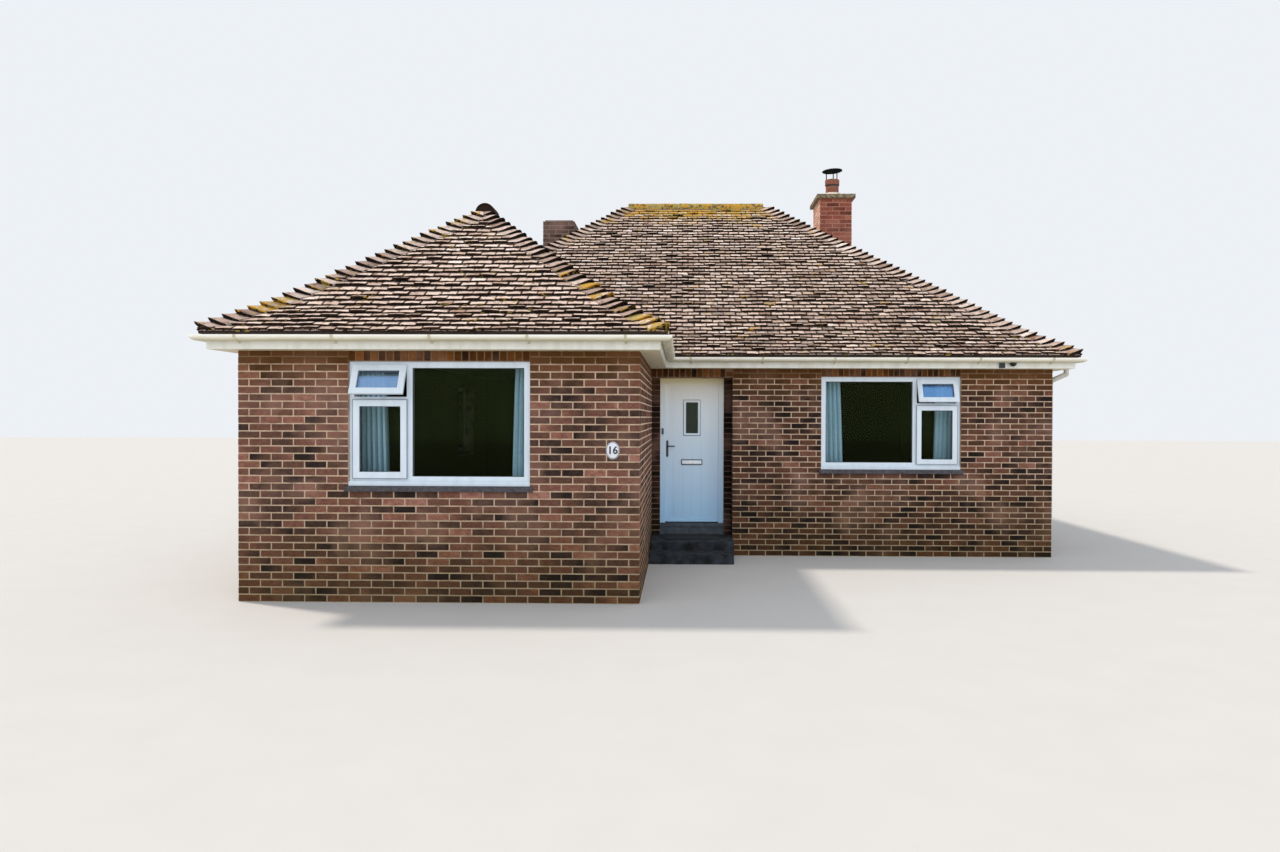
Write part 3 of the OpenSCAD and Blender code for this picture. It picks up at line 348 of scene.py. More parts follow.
def clay_tile(name, lichen, tones, dirt_and_shade_tone="#2A1A10"):
    """Roof tile: pressed clay, weathered pale and lichened. The exposed face is pale, the cut
    edges and the head under the next course are dark with soil and moss and with painted shade of
    the courses' shadows, rust-brown patches show the clay's own colour, and lichen crusts follow
    the ridges and hips."""
    made, tree, place = material(name)
    tone = add(tree, "ShaderNodeAttribute", attribute_name="tone").outputs["Fac"]
    body = add(tree, "ShaderNodeValToRGB", {"Fac": tone}, stops=tones)
    # Weather stains about 60 mm across
    stain = add(tree, "ShaderNodeTexNoise",
                {"Vector": place, "Scale": per_metre(58.8), "Detail": 8.0, "Roughness": 0.65})
    stains = add(tree, "ShaderNodeValToRGB", {"Fac": stain},
                 stops=[(0.27, "#5A4A40"), (0.38, "#B9AAA0"), (0.46, "#F7F1EC"),
                        (0.62, "#FFFFFF"), (0.76, "#DCC4B4")])
    stained = add(tree, "ShaderNodeMix", {0: 0.9, 6: body, 7: stains}, data_type="RGBA",
                  blend_type="MULTIPLY")
    # Patches of bare clay are about 0.3 m across
    patch = add(tree, "ShaderNodeTexNoise",
                {"Vector": place, "Scale": per_metre(286), "Detail": 6.0})
    bare = add(tree, "ShaderNodeMapRange",
               {"Value": patch, "From Min": 0.57, "From Max": 0.72, "To Min": 0.0, "To Max": 0.6})
    rusty = add(tree, "ShaderNodeMix", {0: bare, 6: stained, 7: linear("#865336")},
                data_type="RGBA")
    # Dirt and painted shade darken the head, in the next tail's shadow, and the cut edges
    tail = add(tree, "ShaderNodeAttribute", attribute_name="tail").outputs["Fac"]
    edging = add(tree, "ShaderNodeMath", {0: stain, 1: 0.5}, operation="SUBTRACT")
    frayed = add(tree, "ShaderNodeMath", {0: edging, 1: 0.9, 2: tail}, operation="MULTIPLY_ADD")
    head_dirt_and_shade = add(tree, "ShaderNodeMapRange",
                {"Value": frayed, "From Min": 0.25, "From Max": 0.44,
                 "To Min": 0.97, "To Max": 0.0})
    # The shade attribute adds dirt and painted shade of the joints, tails and hollows
    edge = add(tree, "ShaderNodeAttribute", attribute_name="shade").outputs["Fac"]
    dirt_and_shade = add(tree, "ShaderNodeMath", {0: head_dirt_and_shade, 1: edge}, operation="MAXIMUM")
    dirtied_and_shaded = add(tree, "ShaderNodeMix", {0: dirt_and_shade, 6: rusty, 7: linear(dirt_and_shade_tone)}, data_type="RGBA")
    # Lichen spots are 20 to 60 mm across
    spot = add(tree, "ShaderNodeTexNoise",
               {"Vector": place, "Scale": per_metre(45.45), "Detail": 6.0})
    amount = add(tree, "ShaderNodeAttribute", attribute_name="lichen").outputs["Fac"]
    # They gather where the clay is dampest
    damp = add(tree, "ShaderNodeMapRange",
               {"Value": patch, "From Min": 0.30, "From Max": 0.40,
                "To Min": 0.17, "To Max": 0.0})
    fed = add(tree, "ShaderNodeMath", {0: amount, 1: damp}, operation="ADD")
    grown = add(tree, "ShaderNodeMath", {0: spot, 1: fed}, operation="ADD")
    crust = add(tree, "ShaderNodeMapRange",
                {"Value": grown, "From Min": 0.68, "From Max": 0.76,
                 "To Min": 0.0, "To Max": 0.9})
    # Old crusts turn from orange to olive, in areas about 0.1 m across
    age = add(tree, "ShaderNodeTexNoise",
              {"Vector": place, "Scale": per_metre(111), "Detail": 3.0})
    old = add(tree, "ShaderNodeMapRange", {"Value": age, "From Min": 0.45, "From Max": 0.64})
    grey = add(tree, "ShaderNodeMix", {0: old, 6: tuple(lichen), 7: linear("#A1934C")},
               data_type="RGBA")
    crusted = add(tree, "ShaderNodeMix", {0: crust, 6: dirtied_and_shaded, 7: grey}, data_type="RGBA")
    # Grit of 2 mm, drawn at 11 mm so that it shows
    grain = add(tree, "ShaderNodeTexNoise",
                {"Vector": place, "Scale": per_metre(11.1), "Detail": 5.0})
    shader = add(tree, "ShaderNodeBsdfPrincipled",
                 {"Base Color": crusted, "Roughness": 0.9, "Specular IOR Level": 0.25})
    surface(tree, shader, grain, 0.7, 0.003)
    return made


def grown_moss():
    """Moss: dried cushions, brown with some green, soft and rough."""
    made, tree, place = material("dried_cushion_moss")
    tone = add(tree, "ShaderNodeAttribute", attribute_name="tone").outputs["Fac"]
    body = add(tree, "ShaderNodeValToRGB", {"Fac": tone},
               stops=[(0.0, "#1F1610"), (0.5, "#3C2B1D"), (0.8, "#4F3F22"), (1.0, "#77662E")])
    # Tufts of 2 mm, drawn at 4 mm so that they show
    tuft = add(tree, "ShaderNodeTexNoise",
               {"Vector": place, "Scale": per_metre(3.85), "Detail": 4.0})
    shader = add(tree, "ShaderNodeBsdfPrincipled",
                 {"Base Color": body, "Roughness": 1.0, "Specular IOR Level": 0.1})
    surface(tree, shader, tuft, 1.0, 0.004)
    return made


def plastic(name, tone, streak, roughness=0.32):
    """Window plastic: extruded and welded, smooth and faintly glossy, with a thin film of
    dust in rain streaks about 0.1 m apart."""
    made, tree, place = material(name)
    stretched = add(tree, "ShaderNodeMapping",
                    {"Vector": place, "Scale": (per_metre(111), per_metre(111), per_metre(625))})
    film = add(tree, "ShaderNodeTexNoise", {"Vector": stretched, "Scale": 1.0, "Detail": 6.0})
    dust = add(tree, "ShaderNodeMapRange",
               {"Value": film, "From Min": 0.45, "From Max": 0.8, "To Min": 0.0, "To Max": 0.5})
    dusty = add(tree, "ShaderNodeMix", {0: dust, 6: tuple(tone), 7: linear(streak)},
                data_type="RGBA")
    worn = add(tree, "ShaderNodeMapRange",
               {"Value": film, "From Min": 0.3, "From Max": 0.8,
                "To Min": roughness, "To Max": roughness + 0.2})
    shader = add(tree, "ShaderNodeBsdfPrincipled",
                 {"Base Color": dusty, "Roughness": worn, "IOR": 1.53})
    surface(tree, shader)
    return made


def glass_unit(name, tint, painted_reflection, ripple=0.0):
    """Sealed glass unit: float glass, which mirrors what is before it more at a slant and
    lets its tint through elsewhere. Its gloss colour is a painted reflection of what stands
    before an upright pane. A pane that leans back gets a painted sky reflection in its gloss
    colour, so it turns pale and bluish. The obscure pane of the door has a cast ripple."""
    made, tree, place = material(name)
    normal = add(tree, "ShaderNodeNewGeometry").outputs["Normal"]
    upward = add(tree, "ShaderNodeSeparateXYZ", {"Vector": normal}).outputs["Z"]
    leaning = add(tree, "ShaderNodeMapRange",
                  {"Value": upward, "From Min": 0.15, "From Max": 0.35})
    # Painted sky reflection: a pane at 20 degrees gets a deep blue sky, one at 23.5 degrees the
    # haze above it
    higher = add(tree, "ShaderNodeMapRange",
                 {"Value": upward, "From Min": 0.35, "From Max": 0.39})
    painted_sky_tone = add(tree, "ShaderNodeMix", {0: higher, 6: linear("#547AA4"), 7: linear("#90B4E0")},
               data_type="RGBA")
    mirrored = add(tree, "ShaderNodeMix", {0: leaning, 6: linear(painted_reflection), 7: painted_sky_tone},
                   data_type="RGBA")
    through = add(tree, "ShaderNodeBsdfTransparent", {"Color": tuple(tint)})
    gloss = add(tree, "ShaderNodeBsdfGlossy", {"Color": mirrored, "Roughness": 0.02})
    slant = add(tree, "ShaderNodeFresnel", {"IOR": 1.52})
    # The top of a leaning pane gets less of the painted sky reflection, as it mirrors the dark
    # underside of the eaves instead
    height = add(tree, "ShaderNodeSeparateXYZ", {"Vector": place}).outputs["Z"]
    painted_sky_share = add(tree, "ShaderNodeMapRange",
                   {"Value": height, "From Min": 2.27, "From Max": 2.31,
                    "To Min": 0.50, "To Max": 0.10})
    share = add(tree, "ShaderNodeMath", {0: leaning, 1: painted_sky_share}, operation="MULTIPLY")
    sky = add(tree, "ShaderNodeMath", {0: share, 1: slant}, operation="ADD", use_clamp=True)
    if ripple:
        # Cast ripples are 14 mm apart
        wave = add(tree, "ShaderNodeTexNoise",
                   {"Vector": place, "Scale": per_metre(14.3), "Detail": 1.0})
        bump = add(tree, "ShaderNodeBump", {"Height": wave, "Strength": 0.8, "Distance": ripple})
        tree.links.new(bump.outputs["Normal"], gloss.inputs["Normal"])
    mixed = add(tree, "ShaderNodeMixShader", {0: sky, 1: through, 2: gloss})
    add(tree, "ShaderNodeOutputMaterial", {"Surface": mixed})
    return made


def plain(name, code, second, roughness, grain_mm, depth=0.0005, metallic=0.0, spread=0.5,
          specular=0.5):
    """A mottled finish for small pieces: two tones that a noise of the given grain mixes."""
    made, tree, place = material(name)
    noise = add(tree, "ShaderNodeTexNoise",
                {"Vector": place, "Scale": per_metre(grain_mm), "Detail": 5.0})
    tones = add(tree, "ShaderNodeValToRGB", {"Fac": noise},
                stops=[(0.5 - spread / 2, code), (0.5 + spread / 2, second)])
    shader = add(tree, "ShaderNodeBsdfPrincipled",
                 {"Base Color": tones, "Roughness": roughness, "Metallic": metallic,
                  "Specular IOR Level": specular})
    surface(tree, shader, noise, 0.5, depth)
    return made


def curtain_cloth(tone):
    """Curtain: woven polyester, matt, with a faint slub in the weft. The valleys of its folds get
    painted shade, so they are dark stripes."""
    made, tree, place = material("woven_polyester_curtain")
    # Slubs run 40 mm along the weft and 3 mm across it
    thread = add(tree, "ShaderNodeMapping",
                 {"Vector": place, "Scale": (per_metre(40), per_metre(40), per_metre(3.03))})
    slub = add(tree, "ShaderNodeTexNoise", {"Vector": thread, "Scale": 1.0, "Detail": 3.0})
    shade = add(tree, "ShaderNodeValToRGB", {"Fac": slub},
                stops=[(0.3, "#C9D2D2"), (0.7, "#FFFFFF")])
    woven = add(tree, "ShaderNodeMix", {0: 0.6, 6: tuple(tone), 7: shade}, data_type="RGBA",
                blend_type="MULTIPLY")
    valley = add(tree, "ShaderNodeAttribute", attribute_name="tone").outputs["Fac"]
    # Painted shade in the valleys of the folds
    doubled = add(tree, "ShaderNodeMapRange",
                  {"Value": valley, "From Min": 0.25, "From Max": 0.75,
                   "To Min": 0.66, "To Max": 0.0})
    valley_shaded = add(tree, "ShaderNodeMix", {0: doubled, 6: woven, 7: linear("#24464A")},
                 data_type="RGBA")
    shader = add(tree, "ShaderNodeBsdfPrincipled",
                 {"Base Color": valley_shaded, "Roughness": 0.85, "Sheen Weight": 0.25,
                  "Specular IOR Level": 0.2})
    surface(tree, shader, slub, 0.3, 0.0008)
    return made


def piece(name, points, faces, finish, body, replaced=(), values=None, smooth=False):
    """Makes one piece of the house from its points and faces.
    values holds attributes as {name: (domain, numbers)}."""
    mesh = bpy.data.meshes.new(name)
    mesh.from_pydata(np.asarray(points).tolist(), [], [list(map(int, f)) for f in faces])
    for key, (domain, numbers) in (values or {}).items():
        layer = mesh.attributes.new(key, "FLOAT", domain)
        layer.data.foreach_set("value", np.asarray(numbers, np.float32))
    mesh.materials.append(finish)
    if smooth:
        mesh.shade_smooth()
    made = bpy.data.objects.new(name, mesh)
    bpy.context.scene.collection.objects.link(made)
    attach(made, body)
    if replaced:
        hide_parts(*replaced)
    return made


class Shape:
    """Points, faces and tones of a piece while it grows."""

    def __init__(self):
        self.points, self.faces, self.tones = [], [], []

    def grow(self, points, faces, tone=0.5):
        first = len(self.points)
        self.points += [tuple(p) for p in points]
        self.faces += [tuple(first + i for i in f) for f in faces]
        self.tones += [tone] * len(faces)

    def made(self, name, finish, body, slot, replaced=(), smooth=False):
        values = {"tone": ("FACE", self.tones)}
        return piece(name, self.points, self.faces, finish, body, replaced, values, smooth)


def circle(n):
    """Cosines and sines of n points round a circle."""
    return [(math.cos(2 * math.pi * i / n), math.sin(2 * math.pi * i / n)) for i in range(n)]


def bands(count, n):
    """Faces of the bands between one closed ring of n points and the next."""
    return [(g * n + i, g * n + (i + 1) % n, (g + 1) * n + (i + 1) % n, (g + 1) * n + i)
            for g in range(count) for i in range(n)]


def upright(low, high, y, out=0.0):
    """Corners at y of an upright rectangle that stands out round a box."""
    return [Vector((low.x - out, y, low.z - out)), Vector((high.x + out, y, low.z - out)),
            Vector((high.x + out, y, high.z + out)), Vector((low.x - out, y, high.z + out))]


def finish_node(name, finish, bevel=0.0, segments=2):
    """Gives a carried-over node its material, and rounds its edges where asked."""
    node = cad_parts[name]
    for slot in range(max(1, len(node.data.materials))):
        if slot < len(node.data.materials):
            node.data.materials[slot] = finish
        else:
            node.data.materials.append(finish)
    if bevel:
        weld = node.modifiers.new("weld", "WELD")
        weld.merge_threshold = 0.00005
        rounded = node.modifiers.new("bevel", "BEVEL")
        rounded.width, rounded.segments = bevel, segments
        rounded.limit_method, rounded.angle_limit = "ANGLE", math.radians(40)


def solids_of(name):
    """Corner points of each solid of a node, as arrays, for nodes made of plain solids."""
    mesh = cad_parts[name].data
    points = np.array([v.co for v in mesh.vertices])
    keys, index = np.unique(np.round(points, 4), axis=0, return_inverse=True)
    index = index.ravel()
    group = np.arange(len(keys))

    def root(i):
        while group[i] != i:
            i = group[i]
        return i

    for polygon in mesh.polygons:
        roots = [root(index[v]) for v in polygon.vertices]
        for r in roots:
            group[r] = min(roots)
    roots = np.array([root(i) for i in range(len(keys))])
    return [keys[roots == r] for r in sorted(set(roots))]


def cells(width, count, phase, joint):
    """Starts and ends of the bricks of one course that is count half bricks long."""
    step = (width + joint) / count
    marks = list(range(0, count, 2)) if phase % 2 == 0 else [0] + list(range(1, count, 2))
    marks.append(count)
    return [(a * step, b * step - joint) for a, b in zip(marks, marks[1:])]


def clipped(spans, low, high):
    """What is left of some spans outside a gap from low to high."""
    shortest = 0.03
    kept = []
    for a, b in spans:
        kept += [(a, min(b, low)), (max(a, high), b)] if a < high and b > low else [(a, b)]
    return [(a, b) for a, b in kept if b - a > shortest]


def coursed(s, width, phase, low, high, holes):
    """Bricks of a wall face as (start, end, bottom, top), in stretcher bond.
    holes are gaps as (start, end, bottom, top)."""
    rise = s.height + s.joint
    half = (s.length + s.joint) / 2
    count = max(1, round((width + s.joint) / half))
    # A long wall ends in whole bricks
    long_wall, thinnest = 1.0, 0.015
    if width > long_wall:
        count = 2 * round((width + s.joint) / half / 2)
    bricks = []
    for course in range(int(low / rise), int(high / rise) + 1):
        bottom = max(course * rise + s.joint / 2, low)
        top = min(course * rise + s.joint / 2 + s.height, high)
        if top - bottom < thinnest:
            continue
        spans = cells(width, count, phase + course, s.joint)
        for a, b, z0, z1 in holes:
            if top > z0 + thinnest and bottom < z1 - thinnest:
                spans = clipped(spans, a, b)
        bricks += [(a, b, bottom, top) for a, b in spans]
    return bricks


def soldiers(s, start, end, low, high):
    """Upright bricks of a soldier course between two marks."""
    count = round((end - start) / (s.height + s.joint))
    step = (end - start) / count
    side = s.joint / 2
    return [(start + i * step + side, start + (i + 1) * step - side, low, high)
            for i in range(count)]


def lay(s, name, bricks, origin, along, outward, finish, rng, proud=None):
    """Joins bricks into one piece: each has a worn arris and stands a little askew."""
    spans = np.array(bricks)
    n = len(spans)
    a, b, z0, z1 = spans.T
    sunk, slack, cut = -0.003, 0.0012, s.arris
    flat = np.stack([
        np.stack([a, z0], 1), np.stack([b, z0], 1), np.stack([b, z1], 1), np.stack([a, z1], 1)
    ], 1)
    inset = np.array([[cut, cut], [-cut, cut], [-cut, -cut], [cut, -cut]])
    front = flat + inset + rng.uniform(-slack, slack, (n, 4, 2))
    proud = s.proud if proud is None else proud
    askew = min(0.0015, proud / 2)
    depth = proud + rng.uniform(-askew, askew, (n, 1)) + rng.uniform(-askew, askew, (n, 4)) / 3
    local = np.concatenate([
        np.concatenate([flat, np.full((n, 4, 1), sunk)], 2),
        np.concatenate([front, depth[..., None]], 2),
    ], 1)
    points = local.reshape(-1, 3) @ np.array([along, UP, outward]) + np.array(origin)
    pattern = np.array([[4, 5, 6, 7], [0, 1, 5, 4], [1, 2, 6, 5], [2, 3, 7, 6], [3, 0, 4, 7]])
    faces = (pattern[None] + 8 * np.arange(n)[:, None, None]).reshape(-1, 4)
    # A third of the whole bricks are flashed: they turn dark towards one end
    flashed_share, half_brick = 0.35, 0.15
    first = rng.beta(2.2, 2.0, n)
    flashed = (rng.random(n) < flashed_share) & (b - a > half_brick)
    second = np.where(flashed, first - rng.uniform(0.25, 0.6, n), first)
    turned = rng.random(n) < 0.5
    ends = np.where(turned[:, None], np.stack([second, first], 1), np.stack([first, second], 1))
    tones = np.tile(ends[:, [0, 1, 1, 0]], (1, 2)).ravel()
    piece(name, points, faces, finish, "house", values={"tone": ("POINT", tones)})


def window_gaps(node, pick, start, sign):
    """Gaps along a wall for the windows of a node that pick chooses, as (start, end, bottom,
    top). The wall starts at start and runs the way of sign."""
    gaps = []
    for points in solids_of(node):
        low, high = points.min(0), points.max(0)
        if pick(low, high):
            axis = 0 if high[0] - low[0] > high[1] - low[1] else 1
            ends = sorted([sign * (low[axis] - start), sign * (high[axis] - start)])
            gaps.append((ends[0], ends[1], low[2], high[2]))
    return gaps


def finish_walls(s):
    """Mortar of each wall, which shows in the joints of its bricks."""
    mortar = lime_mortar("weathered_lime_mortar", s.mortar)
    # The inner faces of the outer walls get the painted shade of the unlit rooms
    room_shaded = lime_mortar("room_shade_painted_mortar", s.mortar, True)
    # Painted sunlight: a lighter copy of the mortar for the wing's right wall
    sunlit_mortar = lime_mortar("painted_sunlight_lime_mortar", linear("#F1DCC4"))
    # Painted shade of the porch recess: a dark copy of the mortar
    damp = lime_mortar("porch_mortar_in_painted_shade", linear("#7A6252"))
    for finish, names in (
        (sunlit_mortar, ("wing_right_wall",)),
        (mortar, ("main_front_wall", "wall_over_door")),
        (damp, ("porch_return_wall", "door_side_walls")),
        (room_shaded, ("wing_front_wall", "left_wall", "rear_wall", "right_wall")),
    ):
        for name in names:
            finish_node(name, finish)


def lay_brickwork(s):
    rng = np.random.default_rng(SEED)
    finish_walls(s)
    facing = facing_brick("wirecut_facing_brick", [
        (0.0, "#2C211C"), (0.16, "#43312A"), (0.34, "#584034"), (0.55, "#6E4B3D"),
        (0.76, "#7F5647"), (0.92, "#976655"), (1.0, "#A87768")])
    # Painted shade: a darker copy of the brick for the main front, which lies set back under the
    # eaves
    shaded = facing_brick("painted_shade_facing_brick", [
        (0.0, "#221915"), (0.16, "#34251F"), (0.34, "#483328"), (0.55, "#5A3D2E"),
        (0.76, "#6A4737"), (0.92, "#7F5443"), (1.0, "#8E6353")])
    # Painted sunlight: a lighter copy of the brick for the wing's right wall
    sunlit_brick = facing_brick("painted_sunlight_facing_brick", [
        (0.0, "#2E221C"), (0.2, "#51392E"), (0.5, "#7C5442"), (0.8, "#93634F"),
        (1.0, "#B07E6A")])
    # Painted shade of the porch recess: a dark copy of the brick
    damp = facing_brick("porch_brick_in_painted_shade", [
        (0.0, "#140D0B"), (0.3, "#2A1B16"), (0.7, "#3B2720"), (1.0, "#53372D")])
    # Deeper painted shade, nearly black, for the strip right of the door
    shadowed_brick = facing_brick("shadowed_porch_brick", [
        (0.0, "#0C0908"), (0.3, "#1A120F"), (0.7, "#281C17"), (1.0, "#3A2922")], False)
    # The soldier courses lie in the soffit's shade: painted shade darkens and warms their brick
    heads = facing_brick("soldier_brick_in_painted_shade", [
        (0.0, "#1A0D03"), (0.3, "#3A2009"), (0.6, "#5C370F"), (1.0, "#8C5624")], False)
    front, side = "front_window_frames", "side_window_frames"
    wing_gap = window_gaps(front, lambda lo, hi: hi[0] < X_WING, X_LEFT, 1)
    main_gap = window_gaps(front, lambda lo, hi: lo[0] > X_RECESS, X_RECESS, 1)
    right_gap = window_gaps(side, lambda lo, hi: lo[0] > X_RIGHT - WALL_T, Y_MAIN, 1)
    left_gap = window_gaps(side, lambda lo, hi: hi[0] < X_LEFT + WALL_T, Y_REAR, -1)
    rear_gap = window_gaps(side, lambda lo, hi: lo[1] > Y_REAR - WALL_T, X_RIGHT, -1)
    door_left, door_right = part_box("door_frame")[0].x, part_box("door_frame")[1].x
    # The joints of the wing's right wall are struck flush, so they show at a slant
    flush = 0.0008
    # The steps hide what lies lower beside the door
    low_door = 0.2

    # Each wall: name, finish, proud bricks, corner, way along it, way out, length, phase of
    # its bond, lowest brick and window gaps
    walls = [
        ("wing_front", facing, s.proud, (X_LEFT, Y_FRONT), EAST, -NORTH, X_WING - X_LEFT,
         0, 0.0, wing_gap),
        ("wing_right", sunlit_brick, flush, (X_WING, Y_FRONT), NORTH, EAST, Y_DOOR - Y_FRONT,
         1, 0.0, []),
        ("porch_return", damp, s.proud, (X_RECESS, Y_DOOR), -NORTH, -EAST, Y_DOOR - Y_MAIN,
         1, 0.0, []),
        ("main_front", shaded, s.proud, (X_RECESS, Y_MAIN), EAST, -NORTH, X_RIGHT - X_RECESS,
         0, 0.0, main_gap),
        ("right", facing, s.proud, (X_RIGHT, Y_MAIN), NORTH, EAST, Y_REAR - Y_MAIN,
         1, 0.0, right_gap),
        ("rear", facing, s.proud, (X_RIGHT, Y_REAR), -EAST, NORTH, X_RIGHT - X_LEFT,
         0, 0.0, rear_gap),
        ("left", facing, s.proud, (X_LEFT, Y_REAR), -NORTH, -EAST, Y_REAR - Y_FRONT,
         1, 0.0, left_gap),
        ("door_left", damp, s.proud, (X_WING, Y_DOOR), EAST, -NORTH, door_left - X_WING,
         0, low_door, []),
        ("door_right", shadowed_brick, s.proud, (door_right, Y_DOOR), EAST, -NORTH,
         X_RECESS - door_right, 1, low_door, []),
    ]
    sill_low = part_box("window_sills")[0].z
    over_frame = 0.004
    over = []
    for name, skin, proud, corner, along, outward, width, phase, low, gaps in walls:
        name += "_bricks"
        high = LINTEL_Z if name.startswith("door") else SOFFIT_Z
        holes = [(a, b, sill_low, high + 1) for a, b, _, _ in gaps]
        origin = (*corner, 0.0)
        lay(s, name, coursed(s, width, phase, low, high, holes), origin, along, outward,
            skin, rng, proud=proud)
        for a, b, _, top in gaps:
            over.append((name, soldiers(s, a, b, top + over_frame, SOFFIT_Z), origin, along,
                         outward))
    over.append(("door", porch_heads(s), (X_WING, Y_MAIN, 0.0), EAST, -NORTH))
    for number, (name, bricks, origin, along, outward) in enumerate(over):
        lay(s, f"soldiers_{number}_{name}", bricks, origin, along, outward, heads, rng)


def porch_heads(s):
    """Soldier course over the recess, with one flat brick at its right end."""
    end_brick, end_height = 0.1, 0.065
    width = X_RECESS - X_WING
    bearing = width - end_brick
    bed = LINTEL_Z + s.joint / 2
    heads = soldiers(s, 0.0, bearing, LINTEL_Z, SOFFIT_Z)
    return heads + [(bearing + s.joint, width - s.joint / 2, bed, bed + end_height)]


def lay_chimneys(s):
    rng = np.random.default_rng(SEED + 1)
    red = facing_brick("red_chimney_brick", [
        (0.0, "#6A382D"), (0.3, "#874A3B"), (0.7, "#9C5846"), (1.0, "#B3705A")], False)
    # Painted sunlight: a lighter, peach copy of the red brick for the right stack's left side
    sunlit_chimney_brick = facing_brick("painted_sunlight_chimney_brick", [
        (0.0, "#CC967E"), (0.4, "#EBB9A0"), (1.0, "#FBD9C4")], False)
    brown = facing_brick("sooted_chimney_brick", [
        (0.0, "#392D2A"), (0.4, "#57473F"), (0.8, "#6F5D54"), (1.0, "#877267")], False)
    # The lowest course lies under the tiles, and the left stack ends in a mortar cap
    buried_z, capping = 4.1, 0.025
    for name, finish, slot, joint, bare in (
        ("right_chimney", red, "red_brick", "#B98A78", 0.0),
        ("left_chimney", brown, "brick", "#94837A", capping),
    ):
        finish_node(name, chimney_mortar(name, linear(joint)))
        low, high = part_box(name)
        top = high.z - bare
        wide, deep = high.x - low.x, high.y - low.y
        for side, corner, along, outward, width in (
            ("front", (low.x, low.y), EAST, -NORTH, wide),
            ("right", (high.x, low.y), NORTH, EAST, deep),
            ("rear", (high.x, high.y), -EAST, NORTH, wide),
            ("left", (low.x, high.y), -NORTH, -EAST, deep),
        ):
            # Courses are counted down from the top
            bricks = [(a, b, top - z1, top - z0)
                      for a, b, z0, z1 in coursed(s, width, 0, 0.0, top - buried_z, [])]
            # The right stack's left side takes the painted sunlight
            sunny = finish is red and side == "left"
            lay(s, f"{name}_{side}_bricks", bricks, (*corner, 0.0), along, outward,
                sunlit_chimney_brick if sunny else finish, rng)
    finish_node("chimney_cap", crowned_cap(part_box("chimney_cap")[0].z + s.slab))
    strap_pot(*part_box("chimney_pot"))
    finish_node("chimney_pot", plain("fired_terracotta_pot", "#5E3428", "#A4654A", 0.8, 60.0,
                                     0.001))
    finish_node("chimney_cowl", plain("sooted_coated_steel", "#08090B", "#141517", 0.9, 20.0,
                                      specular=0.05))


def crowned_cap(slab_top):
    """Chimney cap: cast concrete, greyed and lichened, under a smooth cone of lime mortar,
    which is paler than the slab."""
    made, tree, place = material("cast_cap_and_lime_flaunching")
    # Lichen and weather mottle it in spots of about 45 mm
    noise = add(tree, "ShaderNodeTexNoise",
                {"Vector": place, "Scale": per_metre(45.45), "Detail": 6.0})
    slab = add(tree, "ShaderNodeValToRGB", {"Fac": noise},
               stops=[(0.3, "#4E4334"), (0.5, "#7D6F58"), (0.7, "#A4977C")])
    lime = add(tree, "ShaderNodeValToRGB", {"Fac": noise},
               stops=[(0.3, "#BFB096"), (0.6, "#EADFC9")])
    height = add(tree, "ShaderNodeSeparateXYZ", {"Vector": place}).outputs["Z"]
    above = add(tree, "ShaderNodeMapRange",
                {"Value": height, "From Min": slab_top - 0.002, "From Max": slab_top + 0.002})
    tones = add(tree, "ShaderNodeMix", {0: above, 6: slab, 7: lime}, data_type="RGBA")
    shader = add(tree, "ShaderNodeBsdfPrincipled",
                 {"Base Color": tones, "Roughness": 0.92, "Specular IOR Level": 0.25})
    surface(tree, shader, noise, 0.6, 0.004)
    return made


def strap_pot(low, high):
    """The cowl's dark steel strap, drawn tight round the pot under its collar."""
    steel = plain("strap_steel", "#141314", "#2A2725", 0.55, 15.0)
    centre = (low + high) / 2
    n, tall, thick, edge = 48, 0.030, 0.004, 0.001
    collar_share, collar_inset = 0.37, 0.0115
    radius = (high.x - low.x) / 2 - collar_inset
    collar = high.z - collar_share * (high.z - low.z)
    points = [(centre.x + r * c, centre.y + r * q, z)
              for r, z in ((radius - thick, collar - tall - edge), (radius, collar - tall),
                           (radius, collar - 2 * edge), (radius - thick, collar - edge))
              for c, q in circle(n)]
    strap = Shape()
    strap.grow(points, bands(3, n))
    strap.made("pot_strap", steel, "house", "black_metal")


class Roof:
    """Heights and courses of the slopes, from the tile settings. A run is a level distance
    from the eaves."""

    def __init__(self, s):
        self.s = s
        self.eave_z = ROOF_LOW.z + s.edge
        self.kick_run = s.kick_courses * s.gauge * math.cos(s.kick_pitch)

    def pitch(self, course):
        return self.s.kick_pitch if course < self.s.kick_courses else self.s.pitch

    def z(self, run):
        if run < self.kick_run:
            return self.eave_z + run * math.tan(self.s.kick_pitch)
        foot = self.kick_run * math.tan(self.s.kick_pitch)
        return self.eave_z + foot + (run - self.kick_run) * math.tan(self.s.pitch)

    def run(self, course):
        if course <= self.s.kick_courses:
            return course * self.s.gauge * math.cos(self.s.kick_pitch)
        over = course - self.s.kick_courses
        return self.kick_run + over * self.s.gauge * math.cos(self.s.pitch)

    def courses(self, half):
        over = (half - self.kick_run) / (self.s.gauge * math.cos(self.s.pitch))
        return self.s.kick_courses + int(over) + 1


